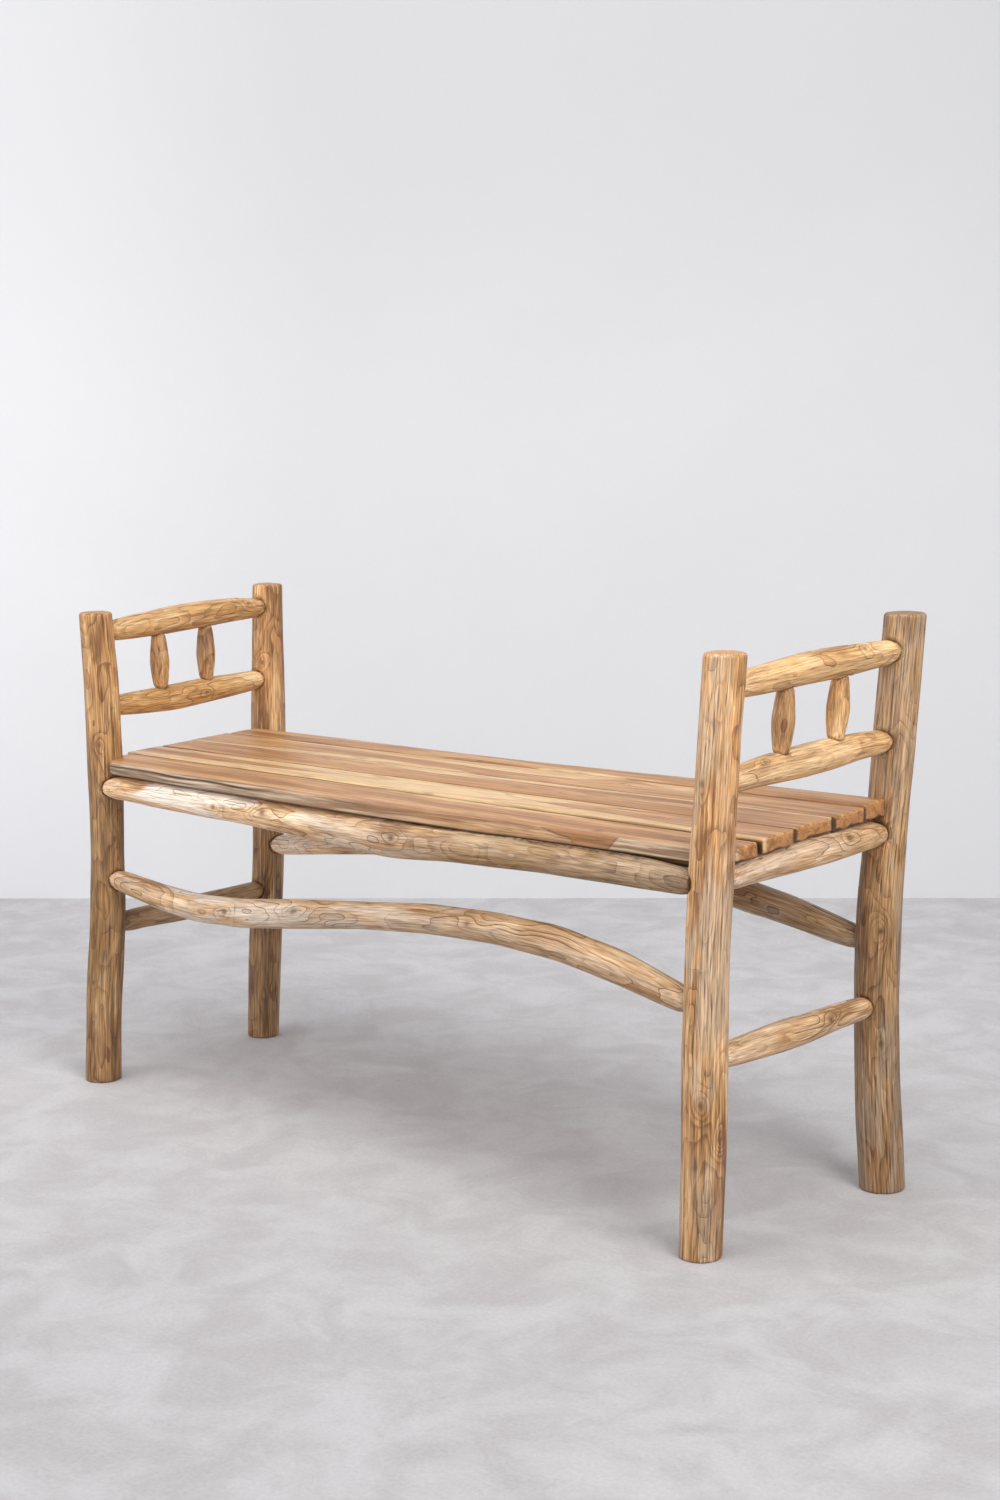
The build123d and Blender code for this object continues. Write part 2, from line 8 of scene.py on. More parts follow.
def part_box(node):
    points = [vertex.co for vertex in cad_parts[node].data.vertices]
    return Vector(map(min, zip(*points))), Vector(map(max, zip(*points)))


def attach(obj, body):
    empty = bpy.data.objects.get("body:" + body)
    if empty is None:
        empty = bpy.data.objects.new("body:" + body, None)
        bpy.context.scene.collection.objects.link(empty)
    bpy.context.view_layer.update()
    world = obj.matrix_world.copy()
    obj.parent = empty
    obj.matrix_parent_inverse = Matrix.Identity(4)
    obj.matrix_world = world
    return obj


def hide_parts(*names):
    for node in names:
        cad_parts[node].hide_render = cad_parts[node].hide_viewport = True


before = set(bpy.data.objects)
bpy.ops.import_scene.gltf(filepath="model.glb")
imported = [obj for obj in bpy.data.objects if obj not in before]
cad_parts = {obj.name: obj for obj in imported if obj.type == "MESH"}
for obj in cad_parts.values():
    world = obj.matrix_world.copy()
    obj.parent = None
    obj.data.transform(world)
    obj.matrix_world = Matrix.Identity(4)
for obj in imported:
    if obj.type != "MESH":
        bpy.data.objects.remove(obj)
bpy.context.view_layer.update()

MM = 0.001
FALL = math.radians(2.3)  # the seat falls to the front
SEAT_HEIGHT = 0.4813  # at the middle of the bench
LAST_BOARD = 4  # boards count from 0 at the front

# ------ noise
CELL_PRIMES = (73856093, 19349663, 83492791)  # they mix a cell's place into a key
SEED_PRIME, KEY_PRIME = 26544357, 1274126177
KEY_TOP = 65535


def lattice_noise(points, seed):
    """Smooth noise from -1 to 1 with one cell per unit."""
    base = np.floor(points).astype(np.int64)
    part = points - base
    ease = part ** 3 * (part * (part * 6 - 15) + 10)
    total = np.zeros(points.shape[:-1])
    for corner in range(8):
        step = np.array([corner & 1, corner >> 1 & 1, corner >> 2 & 1])
        weight = np.prod(np.where(step, ease, 1 - ease), axis=-1)
        cell = base + step
        key = seed * SEED_PRIME
        for axis, prime in enumerate(CELL_PRIMES):
            key = key ^ cell[..., axis] * prime
        key = (key ^ key >> 13) * KEY_PRIME
        key = (key ^ key >> 16) & KEY_TOP
        total += weight * (2 * key / KEY_TOP - 1)
    return total


def fractal_noise(points, seed, octaves=3):
    """Noise with finer and weaker noise on it."""
    total = np.zeros(points.shape[:-1])
    for octave in range(octaves):
        total += lattice_noise(points * 2 ** octave, seed + octave * 17) * 0.5 ** octave
    return total


def smooth_step(low, high, values):
    """From 0 at low to 1 at high, with soft ends; low may be the larger one."""
    share = np.clip((values - low) / (high - low), 0, 1)
    return share * share * (3 - 2 * share)


# ------ reading the frame
def node_arrays(node):
    """The points of a CAD node's mesh, and the ends of its edges."""
    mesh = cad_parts[node].data
    points = np.empty(len(mesh.vertices) * 3)
    mesh.vertices.foreach_get("co", points)
    edges = np.empty(len(mesh.edges) * 2, int)
    mesh.edges.foreach_get("vertices", edges)
    return points.reshape(-1, 3), edges.reshape(-1, 2)


def slices(points, edges, axis, places):
    """The low and the high corners of a solid's cuts across one axis, from its edges' ends."""
    first, second = points[edges[:, 0]], points[edges[:, 1]]
    boxes = []
    for place in places:
        crossing = (first[:, axis] - place) * (second[:, axis] - place) < 0
        a, b = first[crossing], second[crossing]
        share = (place - a[:, axis]) / (b[:, axis] - a[:, axis])
        cut = a + share[:, None] * (b - a)
        boxes.append((cut.min(0), cut.max(0)))
    return np.array(boxes).transpose(1, 0, 2)


def gaussian(values, step, width):
    """values smoothed along their first axis, with the ends kept."""
    reach = int(3 * width / step)
    kernel = np.exp(-0.5 * (np.arange(-reach, reach + 1) * step / width) ** 2)
    kernel /= kernel.sum()
    flat = values.reshape(len(values), -1)
    padded = np.concatenate([2 * flat[:1] - flat[reach:0:-1], flat, 2 * flat[-1:] - flat[-2:-reach - 2:-1]])
    out = np.stack([np.convolve(padded[:, k], kernel, "valid") for k in range(flat.shape[1])], 1)
    return out.reshape(values.shape)


def median(values, reach):
    """values with lone steps taken out, by the median of reach neighbours on each side."""
    padded = np.pad(values, reach, mode="edge")
    return np.median(np.stack([padded[k:k + len(values)] for k in range(2 * reach + 1)]), axis=0)


SAMPLE = 3 * MM  # spacing of the cuts along a log
MEDIAN_REACH = 5
# Where a log's angles start and where they turn to, by the axis that it lies along
AXES = {
    0: (np.array([0.0, -1, 0]), np.array([0.0, 0, 1])),
    1: (np.array([1.0, 0, 0]), np.array([0.0, 0, 1])),
    2: (np.array([1.0, 0, 0]), np.array([0.0, 1, 0])),
}


class Log:
    """The centre line and radius of a round member, read from its CAD solid."""

    def __init__(self, node, axis, trim, seed):
        self.node, self.axis, self.seed = node, axis, seed
        points, edges = node_arrays(node)
        low, high = points[:, axis].min() + trim, points[:, axis].max() - trim
        self.places = np.linspace(low, high, int((high - low) / SAMPLE) + 1)
        is_post = axis == 2 and not trim
        inset = 5.1 * MM if is_post else 0.1 * MM  # of the cuts from the two ends
        inner = np.clip(self.places, low + inset, high - inset)
        lows, highs = slices(points, edges, axis, inner)
        centre = (lows + highs) / 2
        if axis == 2:
            size = highs - lows
            radius = (size[:, 0] + size[:, 1]) / 4
            if is_post:
                self.bridge_mortises(points, centre, radius)
        else:
            side = 1 - axis
            radius = median((highs[:, side] - lows[:, side]) / 2, MEDIAN_REACH)
            centre[:, side] = median(centre[:, side], MEDIAN_REACH)
            height = highs[:, 2] - radius if "upper" in node else lows[:, 2] + radius
            centre[:, 2] = median(height, MEDIAN_REACH)
        centre[:, axis] = self.places
        spacing = self.places[1] - self.places[0]
        is_spindle = axis == 2 and trim
        smoothing = (4 if is_spindle else 15) * MM
        self.centre = gaussian(centre, spacing, smoothing)
        self.radius = gaussian(radius, spacing, smoothing)

    def bridge_mortises(self, points, centre, radius):
        """A post's cuts through mortises are replaced by the cuts above and below them."""
        margin = 2 * MM
        low, high = points.min(0) - margin, points.max(0) + margin
        clean = np.ones(len(self.places), bool)
        for other in RAILS:
            ends, _ = node_arrays(other)
            inside = np.all((ends[:, :2] > low[:2]) & (ends[:, :2] < high[:2]), axis=1)
            if inside.any():
                heights = ends[inside, 2]
                clean &= (self.places < heights.min() - margin) | (self.places > heights.max() + margin)
        for values in (centre[:, 0], centre[:, 1], radius):
            values[:] = np.interp(self.places, self.places[clean], values[clean])

    def centre_at(self, place):
        """Point of the centre line at a place on the log's axis."""
        return np.stack([np.interp(place, self.places, self.centre[:, k]) for k in range(3)], -1)

    def radius_at(self, place):
        return np.interp(place, self.places, self.radius)

    def distance(self, points):
        """How far points lie outside the log's surface."""
        place = points[..., self.axis]
        gap = points - self.centre_at(place)
        gap[..., self.axis] = 0
        return np.linalg.norm(gap, axis=-1) - self.radius_at(place)


POSTS = ["front_left_post", "back_left_post", "front_right_post", "back_right_post"]
SIDE_RAILS = [f"{side}_{part}" for side in ("left", "right")
              for part in ("upper_arm", "lower_arm", "end_rail", "stretcher")]
LONG_RAILS = ["front_seat_rail", "back_seat_rail", "front_stretcher", "back_stretcher"]
SPINDLES = [f"{side}_{place}_spindle" for side in ("left", "right") for place in ("front", "back")]
RAILS = SIDE_RAILS + LONG_RAILS

RAIL_TRIM = 24 * MM  # what is cut off a rail's tenons, inside the posts
SPINDLE_TRIM = 7 * MM

logs = {}
for nodes, axis, trim, seed in ((POSTS, 2, 0, 11), (SIDE_RAILS, 1, RAIL_TRIM, 31),
                                (LONG_RAILS, 0, RAIL_TRIM, 51), (SPINDLES, 2, SPINDLE_TRIM, 71)):
    for number, node in enumerate(nodes):
        logs[node] = Log(node, axis, trim, seed + number)


def hosts_of(node):
    """The members that hold a rail's or a spindle's ends."""
    if node in SPINDLES:
        side = node.split("_")[0]
        return [logs[side + "_lower_arm"], logs[side + "_upper_arm"]]
    low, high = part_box(node)
    found = []
    for post in POSTS:
        post_low, post_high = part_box(post)
        if all(low[k] < post_high[k] and high[k] > post_low[k] for k in range(2)):
            found.append(logs[post])
    return found


guests = {node: [] for node in logs}
for node in RAILS + SPINDLES:
    for host in hosts_of(node):
        guests[host.node].append(logs[node])

# ------ knots and tones
# Knots: place in metres on the log's axis, angle in degrees, width in mm, height in mm.
# The angle runs from the front upwards on long rails, from the right upwards on side
# rails, and from +X towards +Y on posts and spindles.
KNOTS = {
    "front_left_post": [(0.497, -56, 9, 0.9), (0.36, -15, 9, 0.9), (0.10, -70, 8, 0.6)],
    "back_left_post": [(0.586, -63, 9, 1.5), (0.18, -30, 7, 0.7)],
    "front_right_post": [(0.185, -62, 11, 1.6), (0.145, -10, 10, 1.8)],
    "back_right_post": [(0.33, -50, 11, 1.6), (0.19, -45, 9, 1.2)],
    "front_seat_rail": [(-0.280, 5, 10, 1.6), (-0.18, 20, 13, 1.2), (0.07, 10, 11, 1.6)],
    "front_stretcher": [(-0.27, 10, 11, 1.2), (-0.13, 20, 12, 1.4), (0.19, 15, 10, 0.8)],
    "back_stretcher": [(0.30, 10, 9, 1.0)],
    "right_upper_arm": [(0.08, 45, 8, 1.2)],
    "right_lower_arm": [(-0.10, 50, 7, 1.0)],
    "right_end_rail": [(0.055, 25, 10, 0.9)],
    "left_upper_arm": [(0.11, 30, 8, 1.1)],
    "left_lower_arm": [(0.02, 0, 8, 1.2)],
    "right_stretcher": [(0.04, 20, 10, 1.4)],
}

# Tones along a log, whose darkening is partly painted shade and light: place in metres, how much darker, how
# much greyer, how much yellower
TONES_AND_PAINTED_SHADE = {
    "front_left_post": [
        (0, .38, 0, .40), (0.25, .40, .05, .25), (0.42, .34, .05, .20),
        (0.52, .03, 0, .15), (0.70, -.05, 0, .10)],
    "back_left_post": [
        (0, .30, .15, 0), (0.30, .30, .1, 0), (0.46, .10, .1, 0), (0.55, -.06, 0, .1),
        (0.70, -.06, 0, .1)],
    "front_right_post": [(0, .09, .45, 0), (0.3, 0, .60, 0), (0.5, -.12, .50, 0), (0.7, -.12, .40, 0)],
    "back_right_post": [
        (0, .42, .55, 0), (0.3, .40, .5, 0), (0.45, .20, .4, 0), (0.60, .17, .4, 0), (0.7, .36, .6, 0)],
    # Painted shade: the front seat rail is darker towards its right, where the boards shade it.
    "front_seat_rail": [
        (-0.55, -.40, 1.1, 0), (-0.25, -.26, .9, 0), (0.0, -.04, .45, 0),
        (0.2, .30, .15, .2), (0.5, .42, .15, .2)],
    "front_stretcher": [(-0.5, -.04, .85, 0), (-0.1, .02, .6, 0), (0.1, .12, .4, 0), (0.5, .08, .2, .1)],
    # Painted light: the back stretcher, which lies in shadow, is made lighter towards its left.
    "back_stretcher": [(-0.5, -.52, .8, 0), (-0.3, -.15, .5, 0), (0.5, .30, .3, 0)],
    "back_seat_rail": [(0, .10, .4, 0)],
    "left_stretcher": [(0, .26, .05, .3)],
    "right_stretcher": [(0, 0, .2, .1)],
    "left_upper_arm": [(0, .04, 0, .3)],
    "left_lower_arm": [(0, -.03, .05, .25)],
    "right_upper_arm": [(0, .02, .15, .1)],
    "right_lower_arm": [(-0.15, -.08, .4, 0), (0.15, 0, .1, .15)],
    "left_end_rail": [(0, .15, .2, .1)],
    "right_end_rail": [(-0.16, -.04, .5, 0), (0.0, -.12, .3, .1), (0.16, -.08, .15, .2)],
    "left_front_spindle": [
        (0.560, -.10, .3, 0), (0.585, .12, .2, .1), (0.625, .12, .2, .1), (0.650, -.10, .3, 0)],
    "left_back_spindle": [
        (0.570, -.04, .3, 0), (0.595, .24, .3, 0), (0.635, .24, .3, 0), (0.660, 0, .3, 0)],
    "right_front_spindle": [
        (0.575, .10, .3, 0), (0.590, .26, .1, 0), (0.635, .24, .1, 0), (0.655, -.12, .4, 0)],
    "right_back_spindle": [
        (0.575, -.14, .3, 0), (0.600, -.02, .1, .3), (0.640, -.02, .1, .3), (0.660, .02, .1, .1)],
}

KNOT_SPACING = 0.25  # metres of a log for each of its random knots
LOG_SPACING = 7.31  # metres between logs in the noise


def random_knots(log):
    """A few small knots for the sides that have none of their own."""
    random = np.random.default_rng(log.seed)
    length = log.places[-1] - log.places[0]
    return [(log.places[0] + length * random.uniform(0.1, 0.9), random.uniform(60, 300),
             random.uniform(6, 11), random.uniform(0.6, 1.6)) for _ in range(int(length / KNOT_SPACING))]


def straightened(log, angles, radius, places):
    """Points of a log's surface as if it were straight, with the grain along Z."""
    along = places + log.seed * LOG_SPACING + 0 * angles
    return np.stack([np.cos(angles) * radius, np.sin(angles) * radius, along], -1)


def peeled_surface(log, kind, angles, places):
    """Relief in mm, the growth layers that it cuts, and the knots of a log's surface.

    The factors of straight are cells of noise per metre, across and along the grain.
    """
    radius = log.radius_at(places)
    straight = straightened(log, angles, radius, places)
    low = fractal_noise(straight * (26, 26, 8), log.seed, 2)
    middle = lattice_noise(straight * (95, 95, 14), log.seed + 3)
    wander = fractal_noise(straight * (30, 30, 9), log.seed + 40, 2)
    meander = lattice_noise(straight * (120, 120, 34), log.seed + 43)
    thickness = radius / (25 * MM) * (1.1 if kind == "spindle" else 0.75)
    relief = (1.05 * low + 0.45 * middle) * thickness
    field = low + 0.15 * middle + 1.5 * wander + 0.34 * meander
    knot = np.zeros_like(relief)
    for place, turn, width, height in KNOTS.get(log.node, []) + random_knots(log):
        sideways = (angles - math.radians(turn) + math.pi) % (2 * math.pi) - math.pi
        sideways = sideways * radius / MM
        along = (places - place) / MM
        spread = np.exp(-(sideways ** 2 + (along / 1.8) ** 2) / width ** 2)
        core = np.exp(-(sideways ** 2 + (along / 1.3) ** 2) / (0.36 * width) ** 2)
        relief += height * spread - 0.7 * height * core
        field += 1.5 * height * spread
        knot = np.maximum(knot, core * min(1, height))
    layer_depth = 0.8  # mm of one yearly layer
    return straight, relief, field / layer_depth, knot


def layer_slope(log, kind, angles, places, field):
    """How many growth layers a surface cuts per mm."""
    shift = 0.8 * MM
    across = peeled_surface(log, kind, angles + shift / log.radius_at(places), places)[2] - field
    lengthwise = peeled_surface(log, kind, angles, places + shift)[2] - field
    return np.hypot(across, lengthwise) / (shift / MM)


# ------ meshes
def new_object(name, data):
    made = bpy.data.objects.new(name, data)
    bpy.context.scene.collection.objects.link(made)
    return made


def ring_rows(low, high, rounds, turn, cap_shares, count):
    """Places of a piece's rings from end to end, how far each is inset, and its scale.

    Each end is a flat cap of growing rings and then a round rim, which turns by the
    angles in turn. rounds are the rims' radii at the low and at the high end.
    """
    low_round, high_round = rounds
    turn = np.radians(turn)
    out, inward = 1 - np.sin(turn), 1 - np.cos(turn)
    cap = np.array(cap_shares)
    flat = np.ones(len(cap))
    body = np.linspace(low + low_round, high - high_round, count)
    places = (low * flat, low + low_round * out, body, high - high_round * out[::-1], high * flat)
    insets = (low_round * flat, low_round * inward, 0 * body, high_round * inward[::-1], high_round * flat)
    scales = (cap, np.ones(count + 2 * len(turn)), cap[::-1])
    return [np.concatenate(parts) for parts in (places, insets, scales)]


def ring_mesh(name, rings, layers):
    """A mesh from rings of points and vertex layers; a point in its middle closes each end."""
    count, around = rings.shape[:2]
    row = np.arange(count - 1)[:, None] * around
    column = np.arange(around)[None, :]
    following = (column + 1) % around
    quads = np.stack([row + column, row + following, row + around + following, row + around + column], -1)
    faces = quads.reshape(-1, 4).tolist()
    first_tip, last_tip = count * around, count * around + 1
    last_row = (count - 1) * around
    for j in range(around):
        k = (j + 1) % around
        faces.append([k, j, first_tip])
        faces.append([last_row + j, last_row + k, last_tip])
    points = np.concatenate([rings.reshape(-1, 3), rings[[0, -1]].mean(1)])
    mesh = bpy.data.meshes.new(name)
    mesh.from_pydata(points.tolist(), [], faces)
    for layer, values in layers.items():
        data = np.concatenate([values.reshape(-1, 3), values[[0, -1]].mean(1)])
        attribute = mesh.attributes.new(layer, "FLOAT_VECTOR", "POINT")
        attribute.data.foreach_set("vector", data.astype(np.float32).ravel())
    mesh.polygons.foreach_set("use_smooth", [True] * len(mesh.polygons))
    mesh.update()
    volume = sum(p.center.dot(p.normal) * p.area for p in mesh.polygons)
    if volume < 0:
        mesh.flip_normals()
    return new_object(name, mesh)


def dress(node, name, rings, layers, slot):
    """A mesh that takes a CAD node's place, in the material of its slot."""
    made = ring_mesh(name, rings, layers)
    made.data.materials.append(materials[slot])
    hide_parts(node)
    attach(made, "root")


def seat_coordinates(points):
    """Place along and above the seat's plane."""
    rise = points[..., 2] - SEAT_HEIGHT
    along = points[..., 1] * math.cos(FALL) + rise * math.sin(FALL)
    above = -points[..., 1] * math.sin(FALL) + rise * math.cos(FALL)
    return along, above


def under_boards(points):
    """Height that a rail may reach below the boards, above the seat's plane."""
    along, _ = seat_coordinates(points)
    x = points[..., 0]
    beyond = 30 * MM  # past the seat's outer edges
    limit = np.full(along.shape, 1.0)
    for board in boards:
        front = board.at(x, board.front) - beyond * (board.index == 0)
        back = board.at(x, board.back) + beyond * (board.index == LAST_BOARD)
        limit = np.where((along > front) & (along < back), board.at(x, board.bottom), limit)
    return limit


# ------ logs
NOSE_END = 0.86  # a rail's nose narrows to this share where it enters
NOSE_LENGTHS = {"rail": 14 * MM, "spindle": 4 * MM}
ROUNDS = {  # of the rims at a log's low and high end
    "post": (3.2 * MM, 4.5 * MM),
    "rail": (1 * MM, 1 * MM),
    "spindle": (1 * MM, 1 * MM),
}
LOG_TURN = (90, 72, 54, 36, 18)
LOG_CAP = (0.15, 0.35, 0.55, 0.75, 0.9)


def pocket(log, points, guest):
    """Depth of the scooped pocket round a rail's end, its lip, and the painted contact shade round the joint.
    """
    gap = points - guest.centre_at(np.clip(points[..., guest.axis], guest.places[0], guest.places[-1]))
    gap[..., guest.axis] = 0
    across = np.linalg.norm(gap, axis=-1)
    centre = log.centre_at(points[..., log.axis])
    middle = (guest.places[0] + guest.places[-1]) / 2
    towards = np.sign(middle - centre[..., guest.axis])
    facing = (points - centre)[..., guest.axis] * towards
    side = smooth_step(0, 0.35, facing / log.radius_at(points[..., log.axis]))
    end = guest.places[0] if towards.flat[0] > 0 else guest.places[-1]
    hole = guest.radius_at(end + towards.flat[0] * 8 * MM) * NOSE_END
    uneven = 0.8 * MM * fractal_noise(points * 90, log.seed + 60, 2)
    depth = (1 - smooth_step(hole - 0.5 * MM, hole + 4.5 * MM + 2 * uneven, across)) * side
    lip = np.exp(-((across - hole - 6.5 * MM) / (2.5 * MM)) ** 2) * side
    joint_shade = (1 - smooth_step(hole + 0.2 * MM, hole + 2.4 * MM + 1.5 * uneven, across)) * side
    return depth, lip, joint_shade


def shape_joints(log, kind, base, grow):
    """The surface's growth with its pockets, the narrowing at the log's ends, and painted contact shade at
    the joints.
    """
    joint_shade, nose = np.zeros_like(grow), np.ones_like(grow)
    scoop = (3.2 if kind == "post" else 1.6) * MM
    for guest in guests[log.node]:
        depth, lip, dark = pocket(log, base, guest)
        grow = grow - scoop * depth + 0.35 * MM * lip
        joint_shade = np.maximum(joint_shade, dark)
    if kind != "post":
        for host in hosts_of(log.node):
            outside = host.distance(base)
            share = np.clip(1 - outside / NOSE_LENGTHS[kind], 0, 1)
            nose = np.minimum(nose, 1 - (1 - NOSE_END) * share ** 2.2)
            # painted contact shade where the end enters its host
            joint_shade = np.maximum(joint_shade, 1 - smooth_step(-0.6 * MM, 1.6 * MM, outside))
    return grow, nose, joint_shade


def make_log(node, kind, around, step, slot):
    """A log's surface, with this many points around and this step between its rings."""
    log = logs[node]
    low, high = log.places[0], log.places[-1]
    low_round, high_round = ROUNDS[kind]
    count = int((high - low - low_round - high_round) / step) + 1
    rows = ring_rows(low, high, ROUNDS[kind], LOG_TURN, LOG_CAP, count)
    places, inset, scale = (values[:, None] for values in rows)
    angles = np.linspace(0, 2 * math.pi, around, endpoint=False)[None, :]
    first, second = AXES[log.axis]
    direction = np.cos(angles)[..., None] * first + np.sin(angles)[..., None] * second
    centre = log.centre_at(places[:, 0])[:, None, :]
    radius = log.radius_at(places)
    straight, relief, field, knot = peeled_surface(log, kind, angles, places)
    slope = layer_slope(log, kind, angles, places, field)
    grow = (relief + 0.20 * lattice_noise(straight * (420, 420, 26), log.seed + 5)) * MM
    base = centre + direction * (radius + grow)[..., None]
    grow, nose, joint_shade = shape_joints(log, kind, base, grow)
    total = ((radius + grow) * nose - inset) * scale
    rings = centre + direction * total[..., None]

    in_upper_half = places > (low + high) / 2
    cap = smooth_step(0.3, 0.95, inset / np.where(in_upper_half, high_round, low_round)) + 0 * angles
    if kind == "post":
        rough = 0.5 * MM * fractal_noise(straight * (60, 60, 1) * scale[..., None], log.seed + 9, 2)
        dome = np.where(in_upper_half, (1 - scale ** 2) * 1.2 * MM, 0)
        at_top = places >= high - 1e-6
        rings[..., 2] += at_top * (rough * (scale < 0.95) + dome)
    if "seat_rail" in node or "end_rail" in node:
        limit = under_boards(rings)
        _, above = seat_coordinates(rings)
        rings[..., 2] -= np.clip(above - (limit - 0.25 * MM), 0, None) / math.cos(FALL)
        # Painted contact shade where the rail meets the boards' undersides.
        beside = above - limit + 1.2 * MM * fractal_noise(rings * 70, log.seed + 80, 2)
        joint_shade = np.maximum(joint_shade, 0.95 * smooth_step(-3.4 * MM, -1.2 * MM, beside))

    table = np.array(TONES_AND_PAINTED_SHADE[node])
    tones_and_shading = np.stack([np.interp(places[:, 0], table[:, 0], table[:, k]) for k in (1, 2, 3)], -1)
    layers = {
        "log": straightened(log, angles, total, places),
        "mask": np.stack([knot, joint_shade, cap], -1),
        "paint": np.stack([field, slope, 0 * field], -1),
        "tone": np.broadcast_to(tones_and_shading[:, None, :], rings.shape),
    }
    dress(node, node.replace("_post", "_upright") + "_wood", rings, layers, slot)


# ------ boards
BOARD_STEP = 2.5 * MM
END_ROUND = 3.0 * MM


class Board:
    """A seat board's outline, read from its CAD solid."""

    def __init__(self, index):
        self.index, self.seed = index, 101 + 7 * index
        self.node = f"seat_board_{index + 1}"
        points, edges = node_arrays(self.node)
        low, high = points[:, 0].min(), points[:, 0].max()
        turned = np.stack([points[:, 0], *seat_coordinates(points)], -1)
        self.places = np.linspace(low, high, int((high - low) / BOARD_STEP) + 1)
        inner = np.clip(self.places, low + END_ROUND, high - END_ROUND)
        lows, highs = slices(turned, edges, 0, inner)
        self.front, self.back = lows[:, 1], highs[:, 1]
        self.top, self.bottom = highs[:, 2], lows[:, 2]

    def at(self, x, line):
        """Where the board's front, back, top or bottom line is at x."""
        return np.interp(x, self.places, line)


boards = [Board(index) for index in range(LAST_BOARD + 1)]

# The heartwood of each board: x in metres, then its front and back limits as shares of the width
HEART = [
    [(-0.57, -0.2, 1.2), (-0.10, -0.2, 1.1), (0.0, -0.2, 0.86), (0.21, -0.2, 0.80), (0.30, -0.2, 0.88),
     (0.37, -0.2, 1.1), (0.60, -0.2, 1.2)],
    [(-0.57, 0.25, 0.78), (-0.40, 0.29, 0.72), (-0.24, 0.42, 0.60), (-0.165, 0.50, 0.52), (-0.10, 0.70, 0.35),
     (0.15, 0.70, 0.35), (0.21, 0.52, 0.54), (0.26, 0.41, 0.72), (0.36, 0.31, 0.90), (0.43, 0.22, 1.1),
     (0.60, 0.05, 1.2)],
    [(-0.57, -0.2, 1.2), (-0.28, -0.2, 1.05), (-0.20, -0.2, 0.89), (-0.04, -0.2, 0.66), (0.10, -0.2, 0.82),
     (0.36, -0.2, 0.89), (0.60, -0.2, 0.88)],
    [(-0.57, 0.06, 1.1), (-0.40, 0.20, 0.86), (-0.24, 0.29, 0.74), (-0.17, 0.30, 0.71), (-0.04, 0.16, 0.58),
     (0.06, -0.1, 0.50), (0.15, -0.2, 0.60), (0.197, -0.2, 0.84), (0.235, -0.2, 0.93), (0.283, -0.2, 0.70),
     (0.32, -0.2, 0.62), (0.40, -0.2, 1.1), (0.60, -0.2, 1.2)],
    [(-0.57, -0.2, 1.2), (0.0, -0.2, 1.2), (0.09, 0.12, 1.2), (0.16, 0.2, 1.2), (0.24, -0.1, 1.2),
     (0.60, -0.2, 1.2)],
]
BOARD_KNOTS = [  # x in metres, share of the width, size in mm
    [(0.383, 0.22, 13), (-0.175, 0.45, 6), (0.02, 0.5, 5)],
    [(0.40, 0.6, 6)],
    [(-0.25, 0.72, 7), (0.20, 0.35, 8)],
    [(0.225, 0.62, 10)],
    [(-0.05, 0.1, 8), (0.15, 0.9, 8)],
]

BOARD_TURN = (90, 60, 30)
BOARD_CAP = (0.15, 0.35, 0.55, 0.72, 0.86, 0.95)
BOARD_SPACING = 3.7  # metres between boards in the noise
NOTCH_SAMPLES = 60  # cuts at the left end, with the one for the post among them
NOSE_ROUND = 17 * MM  # of the front board, where its cut for the left post ends
TOP_POINTS = 30  # of a board's section

# On the front board's edge, with x in metres and depths below the top in mm: the grooves' depth, right end
# and strength (of their relief and of their painted shade), the facet's lower line, and how weathered the
# edge is
GROOVES = ((6.0, -0.24, 1.0), (12.5, -0.34, 0.5))
FACET = [(0.285, -4), (0.33, 5), (0.352, 9), (0.358, 18), (0.405, 18), (0.427, -4)]
WEATHERED = [(-0.57, 1), (-0.22, 1), (-0.02, 0.75), (0.14, 0.30), (0.30, 0.25), (0.41, 0.9), (0.57, 1)]
# The ridge is painted dark as shade, where it fills the crevice above the front rail.
RIDGE_HEIGHT = 9 * MM  # under the board, behind its front edge


def board_profile(width, height, top_round, face_points):
    """A board's section as a loop, from the front edge's bottom up, over, and back below."""
    low_round = 1.5 * MM
    face = height - top_round - low_round
    turn = np.radians([0, 30, 60, 90])
    down = np.linspace(0, 1, face_points)
    over = np.linspace(0, 1, TOP_POINTS)[1:-1]
    rise, lean = 1 - np.sin(turn), 1 - np.cos(turn)
    parts = [
        (low_round * rise[:-1], low_round * lean[:-1] - height),
        (0 * down, low_round - height + down * face),
        (top_round * lean[1:], -top_round * rise[1:]),
        (top_round + over * (width - 2 * top_round), 0 * over),
        (width - top_round * rise, -top_round * lean),
        (width + 0 * down[1:], -top_round - down[1:] * face),
        (width - low_round * lean[1:], low_round * rise[1:] - height),
        (low_round + over[::-1] * (width - 2 * low_round), 0 * over - height),
    ]
    return np.concatenate([np.stack(part, -1) for part in parts])


def round_cut(radius, along):
    """How far a corner's round lies behind its edge, at a place along the edge."""
    if not 0 <= along < radius:
        return 0
    return radius - math.sqrt(radius ** 2 - (radius - along) ** 2)


